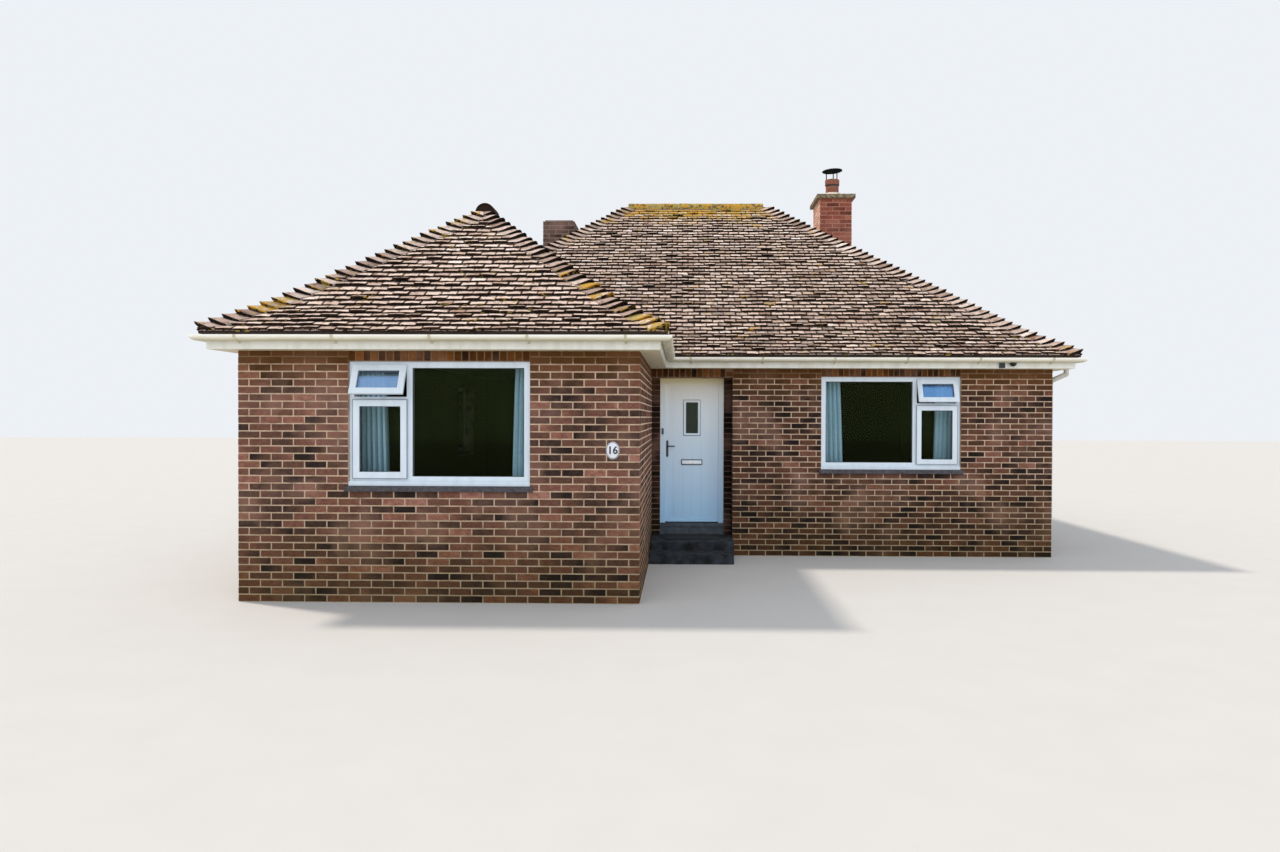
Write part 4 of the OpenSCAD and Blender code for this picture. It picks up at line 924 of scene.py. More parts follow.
def slopes():
    """The six slopes: name, eaves corner, way along the eaves, way up the slope, longest
    run, and the marks between which a slope lies at a given run."""
    left, right = ROOF_LOW.x, ROOF_HIGH.x
    front, rear = ROOF_LOW.y, ROOF_HIGH.y
    wing_right = X_WING + REACH
    wide, deep, full = right - left, rear - front, rear - WING_EAVE_Y
    valley = 2 * WING_HALF
    return [
        ("wing_front", (left, WING_EAVE_Y), EAST, NORTH, WING_HALF, lambda r: (r, valley - r)),
        ("wing_right", (wing_right, WING_EAVE_Y), NORTH, -EAST, WING_HALF,
         lambda r: (r, front - WING_EAVE_Y + r)),
        ("main_front", (left, front), EAST, NORTH, MAIN_HALF,
         lambda r: (max(r, valley - r), wide - r)),
        ("main_right", (right, front), NORTH, -EAST, MAIN_HALF, lambda r: (r, deep - r)),
        ("main_rear", (right, rear), -EAST, -NORTH, MAIN_HALF, lambda r: (r, wide - r)),
        ("left", (left, rear), -NORTH, EAST, MAIN_HALF,
         lambda r: (r, (full if r < WING_HALF else deep) - r)),
    ]


def row_of_tiles(roof, slope, course, rng, doubled=False):
    """Points, tail values by point that set soil and painted shade, middles along the eaves and
    run of one course of plain tiles on a slope. The doubled course lies under the first one and
    closes the eaves."""
    s = roof.s
    _, corner, along, inward, half, limits = slope
    play, sliver, thin = 0.006, 0.03, 0.004
    a, b = roof.run(course), min(roof.run(course + 1), half)
    tail_low, tail_high = limits(a)
    head_low, head_high = limits(b)
    step = s.width + s.gap
    first = math.floor(min(tail_low, head_low) / step) - 1
    last = math.ceil(max(tail_high, head_high) / step) + 1
    starts = (np.arange(first, last) + 0.5 * ((course + doubled) % 2)) * step
    starts = starts + rng.uniform(-play, play, len(starts))
    ends = starts + s.width
    tail0, tail1 = np.clip(starts, tail_low, tail_high), np.clip(ends, tail_low, tail_high)
    head0, head1 = np.clip(starts, head_low, head_high), np.clip(ends, head_low, head_high)
    shown = (tail1 - tail0 > sliver) | (head1 - head0 > sliver)
    tail0, tail1, head0, head1 = (v[shown] for v in (tail0, tail1, head0, head1))
    tail1, head1 = np.maximum(tail1, tail0 + thin), np.maximum(head1, head0 + thin)
    n = len(tail0)
    if n == 0:
        return None

    # Five points across a tile, its camber there and how much its tail is worn there
    share = np.array([0.0, 0.055, 0.5, 0.945, 1.0])
    bow = s.camber * np.array([0.0, 0.4, 1.0, 0.4, 0.0])
    wear = np.array([1, 0.1, 0, 0.1, 1])
    columns = len(share)
    # Tiles lift by some millimetres, rock on their nibs, slip and lie a little askew
    lift = rng.gamma(1.6, 0.0042, (n, 1)) + rng.uniform(-0.005, 0.006, (n, 1)) * (0.5 - share)
    slip = rng.normal(0.0, 0.007, (n, 1)) + rng.uniform(-0.009, 0.009, (n, 1)) * share
    slip = slip + rng.uniform(-0.003, 0.003, (n, columns))
    # Courses sag over the battens in waves about 3 m and 1 m long
    sag = 0.007 * np.sin(2.1 * tail0 + 1.7 * course) + 0.005 * np.sin(6.3 * tail0 - course)
    slip = slip + sag[:, None] + rng.gamma(2.0, 0.004, (n, columns)) * wear
    if doubled:
        below, forward = -s.thick * 1.15, -0.006
        lift, slip = lift * 0.0 + below, slip * 0.0 + forward

    head_lap, head_rise, seat, flare = 0.012, 0.003, 0.0005, 1.1
    pitch = roof.pitch(course)
    level = math.cos(pitch)
    tail_u = tail0[:, None] + (tail1 - tail0)[:, None] * share
    head_u = head0[:, None] + (head1 - head0)[:, None] * share
    tail_run = a + slip * level
    head_run = np.full((n, columns), b + (head_lap * level if b < half else 0.0))
    top = s.thick + lift + bow
    u = np.concatenate([tail_u, head_u, tail_u, np.stack([head0, head1], 1)], 1)
    run = np.concatenate([tail_run, head_run, tail_run, head_run[:, :2]], 1)
    rise = np.concatenate([top, np.full((n, columns), head_rise), top - s.thick * flare,
                           np.full((n, 2), seat)], 1)
    z = roof.z(a) + (run - a) * math.tan(pitch)
    normal = np.array(UP) * level - np.array(inward) * math.sin(pitch)
    points = (np.array([*corner, 0.0]) + u[..., None] * np.array(along)
              + run[..., None] * np.array(inward) + z[..., None] * np.array(UP)
              + rise[..., None] * normal)
    tail = np.tile(np.repeat([1.0, 0.0, 1.0, 0.0], [columns, columns, columns, 2]), (n, 1))
    return points, tail, tail_u.mean(1), a


TILE_FACES = np.array([
    [0, 1, 6, 5], [1, 2, 7, 6], [2, 3, 8, 7], [3, 4, 9, 8], [10, 11, 1, 0], [11, 12, 2, 1],
    [12, 13, 3, 2], [13, 14, 4, 3], [15, 10, 0, 5], [14, 16, 9, 4],
])
# Dirt and painted shade of each of these faces: the rims of the face, the tail's edge and the
# sides
TILE_SHADES = np.array([0.8, 0.0, 0.0, 0.8, 1.0, 1.0, 1.0, 1.0, 1.0, 1.0])
TILE_POINTS = 17


def lay_tiles(s):
    rng = np.random.default_rng(SEED + 2)
    roof = Roof(s)
    finish = clay_tile("pressed_clay_roof_tile", s.lichen, [
        (0.0, "#785F50"), (0.3, "#B09585"), (0.55, "#D8C0B0"), (0.8, "#EEDACC"),
        (1.0, "#FAECE2")])
    under = plain("sarking_and_dirt", "#1E1713", "#3A2C23", 1.0, 30.0)
    finish_node("main_roof", under)
    finish_node("wing_roof", under)
    for slope in slopes():
        tile_slope(roof, slope, finish, rng)
    grow_moss(roof, rng)


def tile_slope(roof, slope, finish, rng):
    """Lays all courses of one slope as one piece."""
    name, corner, _, _, half, _ = slope
    # A last course needs this run, dirt builds up over the next and the crust ends after
    # the third, all from the ridge down
    last_course, dirty_run, crown_run = 0.02, 2.2, 0.70
    points, tails, tones, lichen, shades = [], [], [], [], []
    rows = [(0, True)] + [(course, False) for course in range(roof.courses(half))]
    for course, doubled in rows:
        if roof.run(course) >= half - last_course:
            continue
        row = row_of_tiles(roof, slope, course, rng, doubled)
        if row is None:
            continue
        tiles, tail, middle, run = row
        points.append(tiles)
        tails.append(tail)
        n = len(tiles)
        # Dirt gathers down the main slopes, and rain keeps their top cleaner
        below = min(1.0, (half - run) / dirty_run)
        soiled = 0.0 if name.startswith("wing") else 0.18 * below
        tones.append(np.clip(rng.normal(0.60 + 0.12 * (1 - below), 0.12, n), 0, 1))
        shades.append(np.clip(rng.normal(soiled * 0.7, 0.04 + soiled * 1.1, n), 0, 0.6))
        crown = max(0.0, 1.0 - (half - run) / crown_run) if name == "main_front" else 0.0
        nearest = np.exp(-((corner[0] + middle - CRUST_X) / 0.5) ** 2)
        lichen.append(np.clip(rng.normal(0.0, 0.05, n) + crown * (0.40 + 0.10 * nearest),
                              -0.1, 0.4))
    points = np.concatenate(points)
    starts = TILE_POINTS * np.arange(len(points))
    faces = (TILE_FACES[None] + starts[:, None, None]).reshape(-1, 4)
    # Each face takes its painted shade and dirt, or the tile's own soiling where that is darker
    dirt_and_shade = np.maximum(TILE_SHADES[None], np.concatenate(shades)[:, None])
    piece(f"tiles_{name}", points.reshape(-1, 3), faces, finish, "house",
          values={
              "tone": ("FACE", np.repeat(np.concatenate(tones), len(TILE_FACES))),
              "lichen": ("FACE", np.repeat(np.concatenate(lichen), len(TILE_FACES))),
              "shade": ("FACE", dirt_and_shade.ravel()),
              "tail": ("POINT", np.concatenate(tails).ravel()),
          })


def grow_moss(roof, rng):
    """Cushions of moss that cling to the tails of the tiles. density is for the rectangle
    round a slope."""
    shape = Shape()
    sides, density, edge, shortest = 7, 30, 0.1, 0.5
    for _, corner, along, inward, half, limits in slopes():
        low, high = limits(0.0)
        for _ in range(int(density * half * (high - low))):
            run = rng.uniform(edge / 2, half - edge)
            course = max(i for i in range(roof.courses(half) + 1) if roof.run(i) <= run)
            a = roof.run(course)
            low, high = limits(a)
            if high - low < shortest:
                continue
            u = rng.uniform(low + edge, high - edge)
            pitch = roof.pitch(course)
            normal = UP * math.cos(pitch) - inward * math.sin(pitch)
            climb = inward * math.cos(pitch) + UP * math.sin(pitch)
            r = 0.008 + rng.gamma(2.0, 0.0045)
            base = (Vector((corner[0], corner[1], roof.z(a))) + along * u + inward * a
                    - climb * rng.uniform(-0.2, 1.0) * r)
            stretch = rng.uniform(0.9, 1.9)
            tall = rng.uniform(0.35, 0.6) * r + 0.012
            points = [base + normal * tall]
            for scale, lift in ((0.6, 0.75), (1.0, 0.0)):
                for x, y in circle(sides):
                    j = scale * rng.uniform(0.8, 1.2) * r
                    points.append(base + along * x * j * stretch + climb * y * j
                                  + normal * lift * tall)
            cap = [(0, 1 + i, 1 + (i + 1) % sides) for i in range(sides)]
            skirt = [(1 + i, 1 + sides + i, 1 + sides + (i + 1) % sides, 1 + (i + 1) % sides)
                     for i in range(sides)]
            shape.grow(points, cap + skirt, float(rng.random()))
    shape.made("moss_cushions", grown_moss(), "house", "clay_tile", smooth=True)


# Points across a bonnet and rows of its outer skin, and how exposed each row is to rain and
# light, which sets its dirt and painted shade
BONNET_N, BONNET_SKINS = 9, 5
BONNET_TAILS = (0.6, 0.8, 0.9, 0.6, 0.6, 0.2, 0.0, 0.0)


def bonnet_rows(s, k, length, rng):
    """Rows across a bonnet in its own frame: five of its outer skin from tail to head, then
    the hollow tail's lip, its mortar and the mortar's foot. Sides are the skin's edges set
    down on the slopes, which fall by k."""
    n, half = BONNET_N, s.bonnet_half
    soft, lip, wall, sweep, bedded = 0.030, 0.004, 0.020, 0.045, 0.030
    tip = s.bonnet_lift * rng.uniform(0.85, 1.3)
    skew = rng.uniform(-0.010, 0.010)
    ys = [half * (2 * i / (n - 1) - 1) for i in range(n)]

    def crest(y):
        ridge = s.bonnet_rise * (1 + math.cos(math.pi * y / half)) / 2
        return lip + k * (soft - math.hypot(y, soft)) + ridge

    rows = []
    for share, extra in ((0.0, 0.004), (0.12, 0.0), (0.50, 0.0), (0.86, 0.0), (1.12, 0.0)):
        lift = tip * (1 - share) + extra
        # The tail sweeps back up the hip on both sides, into the courses of the slopes
        rows.append([(share * length + math.hypot(y, sweep) - sweep, y + skew * (1 - share),
                      crest(y) + lift * (1 - 0.6 * (y / half) ** 2)) for y in ys])
    sides = [(x, y, -k * abs(y)) for row in rows for x, y, _ in (row[0], row[-1])]
    rows.append([(x, y, z - wall) for x, y, z in rows[0]])
    rows.append([(x + bedded, y, z) for x, y, z in rows[-1]])
    rows.append([(x, y, -k * abs(y) + 0.001) for x, y, _ in rows[-1]])
    return rows, sides


def bonnet_faces():
    """Faces of a bonnet and how dark each is with soil and painted shade: skin, lip, hollow,
    mortar and sides.
    """
    n, skins = BONNET_N, BONNET_SKINS
    faces = [(r * n + c + n, r * n + c, r * n + c + 1, r * n + c + n + 1)
             for r in range(skins - 1) for c in range(n - 1)]
    lip, bedding, foot = skins * n, (skins + 1) * n, (skins + 2) * n
    for c in range(n - 1):
        faces.append((c, lip + c, lip + c + 1, c + 1))
        faces.append((lip + c, bedding + c, bedding + c + 1, lip + c + 1))
        faces.append((bedding + c, foot + c, foot + c + 1, bedding + c + 1))
    skirt = foot + n
    for r in range(skins - 1):
        faces.append((r * n, (r + 1) * n, skirt + 2 * r + 2, skirt + 2 * r))
        faces.append((skirt + 2 * r + 1, skirt + 2 * r + 3, (r + 1) * n + n - 1,
                      r * n + n - 1))
    # The head lies in the shadow of the next bonnet, so it gets painted shade; the hollow tail
    # gets dirt and painted shade
    clean, head, hollow, side = 0.0, 0.95, 1.0, 0.5
    shade = ([clean] * ((skins - 2) * (n - 1)) + [head] * (n - 1) + [hollow] * (3 * (n - 1))
             + [side] * (2 * (skins - 1)))
    return faces, shade


def lay_bonnets(s):
    rng = np.random.default_rng(SEED + 3)
    roof = Roof(s)
    finish = clay_tile("bonnet_hip_tile", s.lichen, [
        (0.0, "#8B7366"), (0.35, "#BBA496"), (0.7, "#DCC9BC"), (1.0, "#F2E4DA")], "#241811")
    ridge = clay_tile("half_round_ridge_tile", s.lichen, [
        (0.0, "#4C442E"), (0.4, "#7A6E4C"), (1.0, "#A69870")])
    left, right = ROOF_LOW.x, ROOF_HIGH.x
    front, rear = ROOF_LOW.y, ROOF_HIGH.y
    wing_top, main_top = roof.courses(WING_HALF) - 1, roof.courses(MAIN_HALF) - 1
    # Each hip: corner, way in, first and last course, and lichen by course
    hips = [
        ((left, WING_EAVE_Y), (1, 1), 0, wing_top, lambda i: 0.24 if 3 < i < 7 else 0.06),
        ((X_WING + REACH, WING_EAVE_Y), (-1, 1), 0, wing_top,
         lambda i: 0.26 if i < 3 else 0.18 if i in (4, 7, 9, 12) else -0.02),
        ((right, front), (-1, 1), 0, main_top, lambda i: 0.02),
        ((right, rear), (-1, -1), 0, main_top, lambda i: 0.05),
        ((left, rear), (1, -1), 0, main_top, lambda i: 0.05),
        ((left, front), (1, 1), wing_top + 3, main_top, lambda i: 0.04),
    ]
    faces, dirt_and_shade = bonnet_faces()
    tails = np.repeat(BONNET_TAILS, BONNET_N).tolist() + [0.2] * (2 * BONNET_SKINS)
    shape = Shape()
    lichen, tail, shade = [], [], []
    for corner, way, first, last, crust in hips:
        for i in range(first, last):
            a, b = roof.run(i), roof.run(i + 1)
            start = Vector((corner[0] + a * way[0], corner[1] + a * way[1], roof.z(a)))
            end = Vector((corner[0] + b * way[0], corner[1] + b * way[1], roof.z(b)))
            climb = (end - start).normalized()
            across = UP.cross(climb).normalized()
            normal = climb.cross(across)
            rows, sides = bonnet_rows(s, climb.z, (end - start).length, rng)
            local = [p for row in rows for p in row] + sides
            points = [start + climb * x + across * y + normal * z for x, y, z in local]
            shape.grow(points, faces, float(np.clip(rng.normal(0.5, 0.22), 0, 1)))
            shade += dirt_and_shade
            lichen += [crust(i) + float(rng.normal(0, 0.05))] * len(faces)
            tail += tails
    piece("bonnet_tiles", shape.points, shape.faces, finish, "house",
          ("hip_tiles",), {"tone": ("FACE", shape.tones), "lichen": ("FACE", lichen),
                           "shade": ("FACE", shade), "tail": ("POINT", tail)},
          smooth=True)
    lay_ridges(s, roof, ridge, rng)


def half_round(shape, start, way, length, r, wall, tilt, tone):
    """One ridge tile: a half round with its two ends closed a little further in by mortar."""
    n, deep = 13, 0.014
    side = way.cross(UP).normalized()
    arcs = []
    for x, radius, lift in ((0.0, r, tilt), (0.0, r - wall, tilt), (deep, r - wall, tilt),
                            (length, r, 0.0), (length, r - wall, 0.0),
                            (length - deep, r - wall, 0.0)):
        arcs.append([start + way * x + side * (radius * math.cos(math.pi * i / (n - 1)))
                     + UP * (radius * math.sin(math.pi * i / (n - 1)) + lift)
                     for i in range(n)])
    middle = [start + way * deep + UP * tilt, start + way * (length - deep)]
    points = [p for arc in arcs for p in arc] + middle
    outer, mouth, bed, far_outer, far_mouth, far_bed, hub, far_hub = (
        0, n, 2 * n, 3 * n, 4 * n, 5 * n, 6 * n, 6 * n + 1)
    faces = []
    for i in range(n - 1):
        faces.append((outer + i, outer + i + 1, far_outer + i + 1, far_outer + i))
        faces.append((mouth + i, mouth + i + 1, outer + i + 1, outer + i))
        faces.append((bed + i, bed + i + 1, mouth + i + 1, mouth + i))
        faces.append((hub, bed + i + 1, bed + i))
        faces.append((far_outer + i, far_outer + i + 1, far_mouth + i + 1, far_mouth + i))
        faces.append((far_mouth + i, far_mouth + i + 1, far_bed + i + 1, far_bed + i))
        faces.append((far_hub, far_bed + i, far_bed + i + 1))
    faces.append((outer, far_outer, far_mouth, mouth))
    faces.append((outer + n - 1, mouth + n - 1, far_mouth + n - 1, far_outer + n - 1))
    shape.grow(points, faces, tone)


def lay_ridges(s, roof, finish, rng):
    """Half-round ridge tiles on their mortar, the wing's first one lifted over the hips."""
    bed = plain("ridge_bedding_mortar", "#6A5B4C", "#9A8A76", 0.95, 30.0, 0.004)
    wall, rise, tile, gap, lifted = 0.014, 0.060, 0.300, 0.005, 0.075
    inset, flare, drop, short, bare = 0.006, 0.02, 0.030, 0.001, -0.3
    centre_y = (ROOF_LOW.y + ROOF_HIGH.y) / 2
    main_x = ROOF_HIGH.x - MAIN_HALF
    wing_start = WING_EAVE_Y + WING_HALF
    wing_end = ROOF_LOW.y + WING_HALF - s.ridge_r
    # Each ridge: start, way, length, lichen and lift of its first tile. The main one
    # reaches out over its hips.
    over = 0.06
    ridges = [
        (Vector((-main_x - over, centre_y, roof.z(MAIN_HALF))), EAST, 2 * main_x + over + 0.01,
         0.25, 0.0),
        (Vector(((X_LEFT + X_WING) / 2, wing_start, roof.z(WING_HALF))), NORTH,
         wing_end - wing_start, 0.04, lifted),
    ]
    tiles, mortar = Shape(), Shape()
    lichen, shade = [], []
    foot = s.ridge_r - inset
    for start, way, length, crust, first_lift in ridges:
        count = math.ceil(length / tile)
        step = length / count
        side = way.cross(UP)
        for i in range(count):
            raised = first_lift if i == 0 else 0.0
            base = start + way * (i * step) + UP * (rise - s.ridge_r + raised)
            tone = float(np.clip(rng.normal(0.5, 0.2), 0, 1))
            before = len(tiles.faces)
            half_round(tiles, base, way, step - gap, s.ridge_r, wall,
                       float(rng.uniform(-0.004, 0.006)), tone)
            # The raised tile is sooty and bare of lichen
            dull = 1.0 if raised else float(rng.uniform(0.1, 0.5))
            lichen += [bare if raised else crust] * (len(tiles.faces) - before)
            shade += [dull] * (len(tiles.faces) - before)
            top, low = 0.002, -drop - raised
            corners = [base + way * x + side * y + UP * z
                       for x in (short, step - gap - short)
                       for y, z in ((-foot, top), (foot, top), (foot + flare, low),
                                    (-foot - flare, low))]
            mortar.grow(corners, [(0, 3, 2, 1), (4, 5, 6, 7), (1, 2, 6, 5), (3, 0, 4, 7),
                                  (0, 1, 5, 4), (2, 3, 7, 6)])
    values = {"tone": ("FACE", tiles.tones), "lichen": ("FACE", lichen),
              "shade": ("FACE", shade), "tail": ("POINT", [0.7] * len(tiles.points))}
    piece("half_round_ridge_tiles", tiles.points, tiles.faces, finish, "house",
          ("ridge_tiles",), values)
    mortar.made("ridge_bedding", bed, "house", "clay_tile")


def algae_and_shade_plastic(name):
    """Gutter plastic: extruded, smooth, pale where rain washes it and khaki with algae and
    painted shade where it hangs over and faces down, so its round belly reads as a darker band.
    The film lies in streaks 0.2 m long."""
    made, tree, place = material(name)
    stretched = add(tree, "ShaderNodeMapping",
                    {"Vector": place, "Scale": (per_metre(200), per_metre(200), per_metre(50))})
    film = add(tree, "ShaderNodeTexNoise", {"Vector": stretched, "Scale": 1.0, "Detail": 6.0})
    normal = add(tree, "ShaderNodeNewGeometry").outputs["Normal"]
    upward = add(tree, "ShaderNodeSeparateXYZ", {"Vector": normal}).outputs["Z"]
    uneven = add(tree, "ShaderNodeMath", {0: film, 1: 0.5, 2: upward}, operation="MULTIPLY_ADD")
    # Faces that turn down get algae and painted shade
    under = add(tree, "ShaderNodeMapRange",
                {"Value": uneven, "From Min": -0.70, "From Max": 0.10,
                 "To Min": 0.80, "To Max": 0.0})
    grown = add(tree, "ShaderNodeMix", {0: under, 6: linear("#FBF7EA"), 7: linear("#B3AA80")},
                data_type="RGBA")
    shader = add(tree, "ShaderNodeBsdfPrincipled",
                 {"Base Color": grown, "Roughness": 0.38, "IOR": 1.53})
    surface(tree, shader)
    return made


def fit_eaves(s):
    """Gutters, brackets, fascia, soffit and downpipes keep their solids and get a finish."""
    gutter = algae_and_shade_plastic("extruded_gutter_plastic")
    for name in ("wing_gutter", "main_gutter", "rear_gutters"):
        finish_node(name, gutter)
    finish_node("gutter_brackets",
                plastic("moulded_bracket_plastic", s.bracket, "#8F8765", 0.4))
    finish_node("fascia_boards",
                plastic("fascia_board_plastic", s.fascia, "#B4AE90", 0.4), 0.002)
    finish_node("soffit_boards", plastic("soffit_board_plastic", s.soffit, "#AFA27C", 0.45))
    finish_node("downpipes", plastic("downpipe_plastic", s.pipe, "#8E897A", 0.4))
    finish_node("fascia_fittings", plain("weathered_black_plastic", "#0C1716", "#182E2B",
                                         0.3, 12.0, specular=0.3))


def pane_faces(node):
    """Corners of the outer face of each glass unit of a node."""
    found = []
    for points in solids_of(node):
        low, high = points.min(0), points.max(0)
        middle = points.mean(0)
        thin = 1 if high[0] - low[0] > high[1] - low[1] else 0
        way = Vector((0, 0, 0))
        way[thin] = 1.0 if middle[thin] > 0 else -1.0
        if node == "door_glass" or (thin == 1 and middle[1] < Y_MAIN + WALL_T):
            way = -NORTH
        across = UP.cross(way)
        by_height = sorted((Vector(p) for p in points.tolist()), key=lambda p: p.z)
        pairs = []
        for four in (by_height[:4], by_height[4:]):
            outer = sorted(four, key=lambda p: -p.dot(way))[:2]
            pairs.append(sorted(outer, key=lambda p: p.dot(across)))
        (a, b), (d, c) = pairs
        found.append([a, b, c, d])
    return found


def frame_strip(shape, corners, inner, proud, back):
    """A flat rim just inside four corners: inner is its width, proud its height."""
    a, b, _, d = corners
    u, v = (b - a).normalized(), (d - a).normalized()
    n = u.cross(v)
    steps = [u + v, -u + v, -u - v, u - v]
    points = []
    for depth, shift in ((-back, 0.0), (proud, 0.0), (proud, inner), (-back, inner)):
        points += [p + w * shift + n * depth for p, w in zip(corners, steps)]
    shape.grow(points, bands(3, 4))


def fit_windows(s):
    frames = plastic("extruded_window_plastic", s.plastic, "#BAC4CD", 0.28)
    rubber = plain("moulded_gasket_rubber", "#26282B", "#3A3D41", 0.6, 8.0)
    clear = glass_unit("float_glass_unit", s.tint, "#525C34")
    # The dark tint of the side and rear panes is painted shade of the unlit rooms, and it lets
    # little light in
    dim = glass_unit("unlit_room_glass_unit", linear("#161918"), "#B9C0BE")
    sills = plain("slate_window_sill", "#2B292C", "#565257", 0.75, 35.0, 0.002)
    for name in ("front_window_frames", "window_sashes", "side_window_frames"):
        finish_node(name, frames, 0.003)
    finish_node("front_window_glass", clear)
    finish_node("side_window_glass", dim)
    finish_node("window_sills", sills, 0.004)
    gaskets = Shape()
    for name in ("front_window_glass", "side_window_glass"):
        for corners in pane_faces(name):
            frame_strip(gaskets, corners, s.gasket, 0.0015, 0.002)
    gaskets.made("window_gaskets", rubber, "house", "white_plastic")
    # The grey seal of a closed sash, with the painted shadow of its gap, shows as a thin line
    # round it
    seal, lap, open_depth = 0.005, 0.010, 0.09
    seals = Shape()
    for points in solids_of("window_sashes"):
        low, high = Vector(points.min(0)), Vector(points.max(0))
        if high.y - low.y <= open_depth:
            frame_strip(seals, upright(low, high, low.y, seal), seal, 0.0, lap)
    seals.made("sash_seal_and_shadow_lines", plain("sash_rubber_and_painted_shadow", "#66727D", "#7B8792", 0.6, 8.0),
               "house", "white_plastic")


def curtain_points(s, low, high, from_left, phases, sunlit):
    """Points of one gathered curtain by row, and the tones of its painted shade, from dark
    valleys to fronts.
    """
    per_fold, rows, foot, sway = 16, 25, 0.86, 0.0048
    width, drop = high[0] - low[0], high[2] - low[2]
    folds = len(phases) - 1
    columns = folds * per_fold + 1
    grid, tones = [], []
    for r in range(rows):
        t = r / (rows - 1)
        narrow = foot + (1 - foot) * t ** 0.7
        for c in range(columns):
            u = c / (columns - 1)
            wave = u * folds
            bend = phases[int(min(wave, folds - 1))]
            # Broad fronts and narrow, deep valleys
            fold = 2 * abs(math.sin(math.pi * wave)) ** 0.45 - 1
            edge = u if from_left else 1 - u
            x = edge * narrow * width + sway * math.sin(4 * math.pi * wave + bend) * (0.3 + t)
            x = min(max(x, 0.0), width)
            depth = s.depth / 2 * (0.85 + 0.15 * math.sin(3 * t + bend)) * fold
            grid.append((low[0] + x if from_left else high[0] - x,
                         (low[1] + high[1]) / 2 - depth, high[2] - t * drop))
            tones.append(0.68 + 0.32 * fold if sunlit else 0.5 + 0.5 * fold)
    faces = [(r * columns + c, (r + 1) * columns + c, (r + 1) * columns + c + 1,
              r * columns + c + 1) for r in range(rows - 1) for c in range(columns - 1)]
    return grid, faces, tones


def hang_curtains(s):
    """Four curtains drawn to the sides: cloth in deep folds, a little wider at the foot."""
    cloth = curtain_cloth(s.cloth)
    finish_node("curtain_rails", plastic("curtain_rail_plastic", linear("#F0F0EE"), "#C8C8C4"))
    rng = np.random.default_rng(SEED + 4)
    boxes = sorted(solids_of("curtains"), key=lambda p: p[:, 0].min())
    for number, points in enumerate(boxes):
        low, high = points.min(0), points.max(0)
        folds = round((high[0] - low[0]) / s.fold)
        phases = rng.uniform(-0.5, 0.5, folds + 1)
        # The sun reaches into the folds of the main window's curtains, the last two
        grid, faces, tones = curtain_points(s, low, high, number % 2 == 0, phases, number > 1)
        made = piece(f"curtain_{number + 1}", grid, faces, cloth, "house",
                     ("curtains",), {"tone": ("POINT", tones)}, smooth=True)


def tube(shape, path, radii, sides=16):
    """A round bar along some points, closed at both ends."""
    points = []
    for i, point in enumerate(path):
        way = (path[min(i + 1, len(path) - 1)] - path[max(i - 1, 0)]).normalized()
        one = way.cross(UP).normalized() if abs(way.z) < 0.9 else EAST
        two = way.cross(one)
        points += [point + (one * c + two * q) * radii[i] for c, q in circle(sides)]
    faces = bands(len(path) - 1, sides)
    faces.append(tuple(range(sides - 1, -1, -1)))
    faces.append(tuple(range((len(path) - 1) * sides, len(path) * sides)))
    shape.grow(points, faces)


def door_skin():
    """Door skin: moulded plastic with a satin face, ivory near the eaves' warm light and
    bluer towards the foot, as the open sky colours it."""
    made, tree, place = material("moulded_door_skin")
    height = add(tree, "ShaderNodeSeparateXYZ", {"Vector": place}).outputs["Z"]
    level = add(tree, "ShaderNodeMapRange", {"Value": height, "From Min": 0.5, "From Max": 2.4})
    tones = add(tree, "ShaderNodeValToRGB", {"Fac": level},
                stops=[(0.0, "#B2DEFF"), (0.45, "#D9EFFF"), (0.8, "#F4FDFF"), (0.95, "#FDFBEC"),
                       (1.0, "#FFF2B4")])
    # Hands and rain wear the satin face in patches about 0.17 m across
    film = add(tree, "ShaderNodeTexNoise",
               {"Vector": place, "Scale": per_metre(167), "Detail": 5.0})
    worn = add(tree, "ShaderNodeMapRange",
               {"Value": film, "From Min": 0.3, "From Max": 0.8, "To Min": 0.35, "To Max": 0.5})
    shader = add(tree, "ShaderNodeBsdfPrincipled",
                 {"Base Color": tones, "Roughness": worn, "IOR": 1.53})
    surface(tree, shader)
    return made


def fit_door(s):
    skin = door_skin()
    # The chrome's dark colour is a painted reflection of the dark surroundings that the plates
    # and levers mirror
    metal = plain("chrome_plate_painted_dark", "#2F3233", "#4C5052", 0.3, 30.0, 0.0001, 1.0)
    finish_node("door_frame", skin, 0.003)
    finish_node("front_door", skin, 0.0015, 1)
    finish_node("door_pane_frames", skin, 0.004, 3)
    finish_node("door_glass",
                glass_unit("obscure_door_glass", linear("#6B8270"), "#C4D2BC", 0.004))
    finish_node("letter_plate", plain("brushed_letter_plate", "#C3C8CC", "#E6E9EC", 0.42,
                                      25.0, 0.0001, 1.0), 0.0018)
    finish_node("frame_hinges", skin)
    finish_node("door_hinges", skin)
    rubber = plain("door_gasket_rubber", "#2A2C2F", "#404347", 0.6, 8.0)
    seal = Shape()
    for corners in pane_faces("door_glass"):
        frame_strip(seal, corners, s.gasket, 0.001, 0.002)
    seal.made("door_pane_gasket", rubber, "door", "door_skin")
    draw_shadow_lines(s)
    fit_weather_bar(s, skin)
    fit_lever_plates(metal)
    bend_levers(s, metal)

    finish_node("door_threshold", plain("painted_threshold", "#2F363E", "#535C66", 0.6, 60.0,
                                        0.001), 0.003)
    # The steps are nearly black with damp and grime and with painted shade of the recess
    steps = plain("cast_concrete_step", "#08090B", "#32383E", 0.92, 110.0, 0.004, spread=0.3)
    finish_node("door_steps", steps, 0.012, 3)
    finish_node("doormat", plain("ribbed_rubber_mat", "#141414", "#2A2928", 0.85, 14.0, 0.003))
    finish_node("bell_push", plain("moulded_bell_push", "#2B2E33", "#4A4E55", 0.35, 10.0),
                0.003)


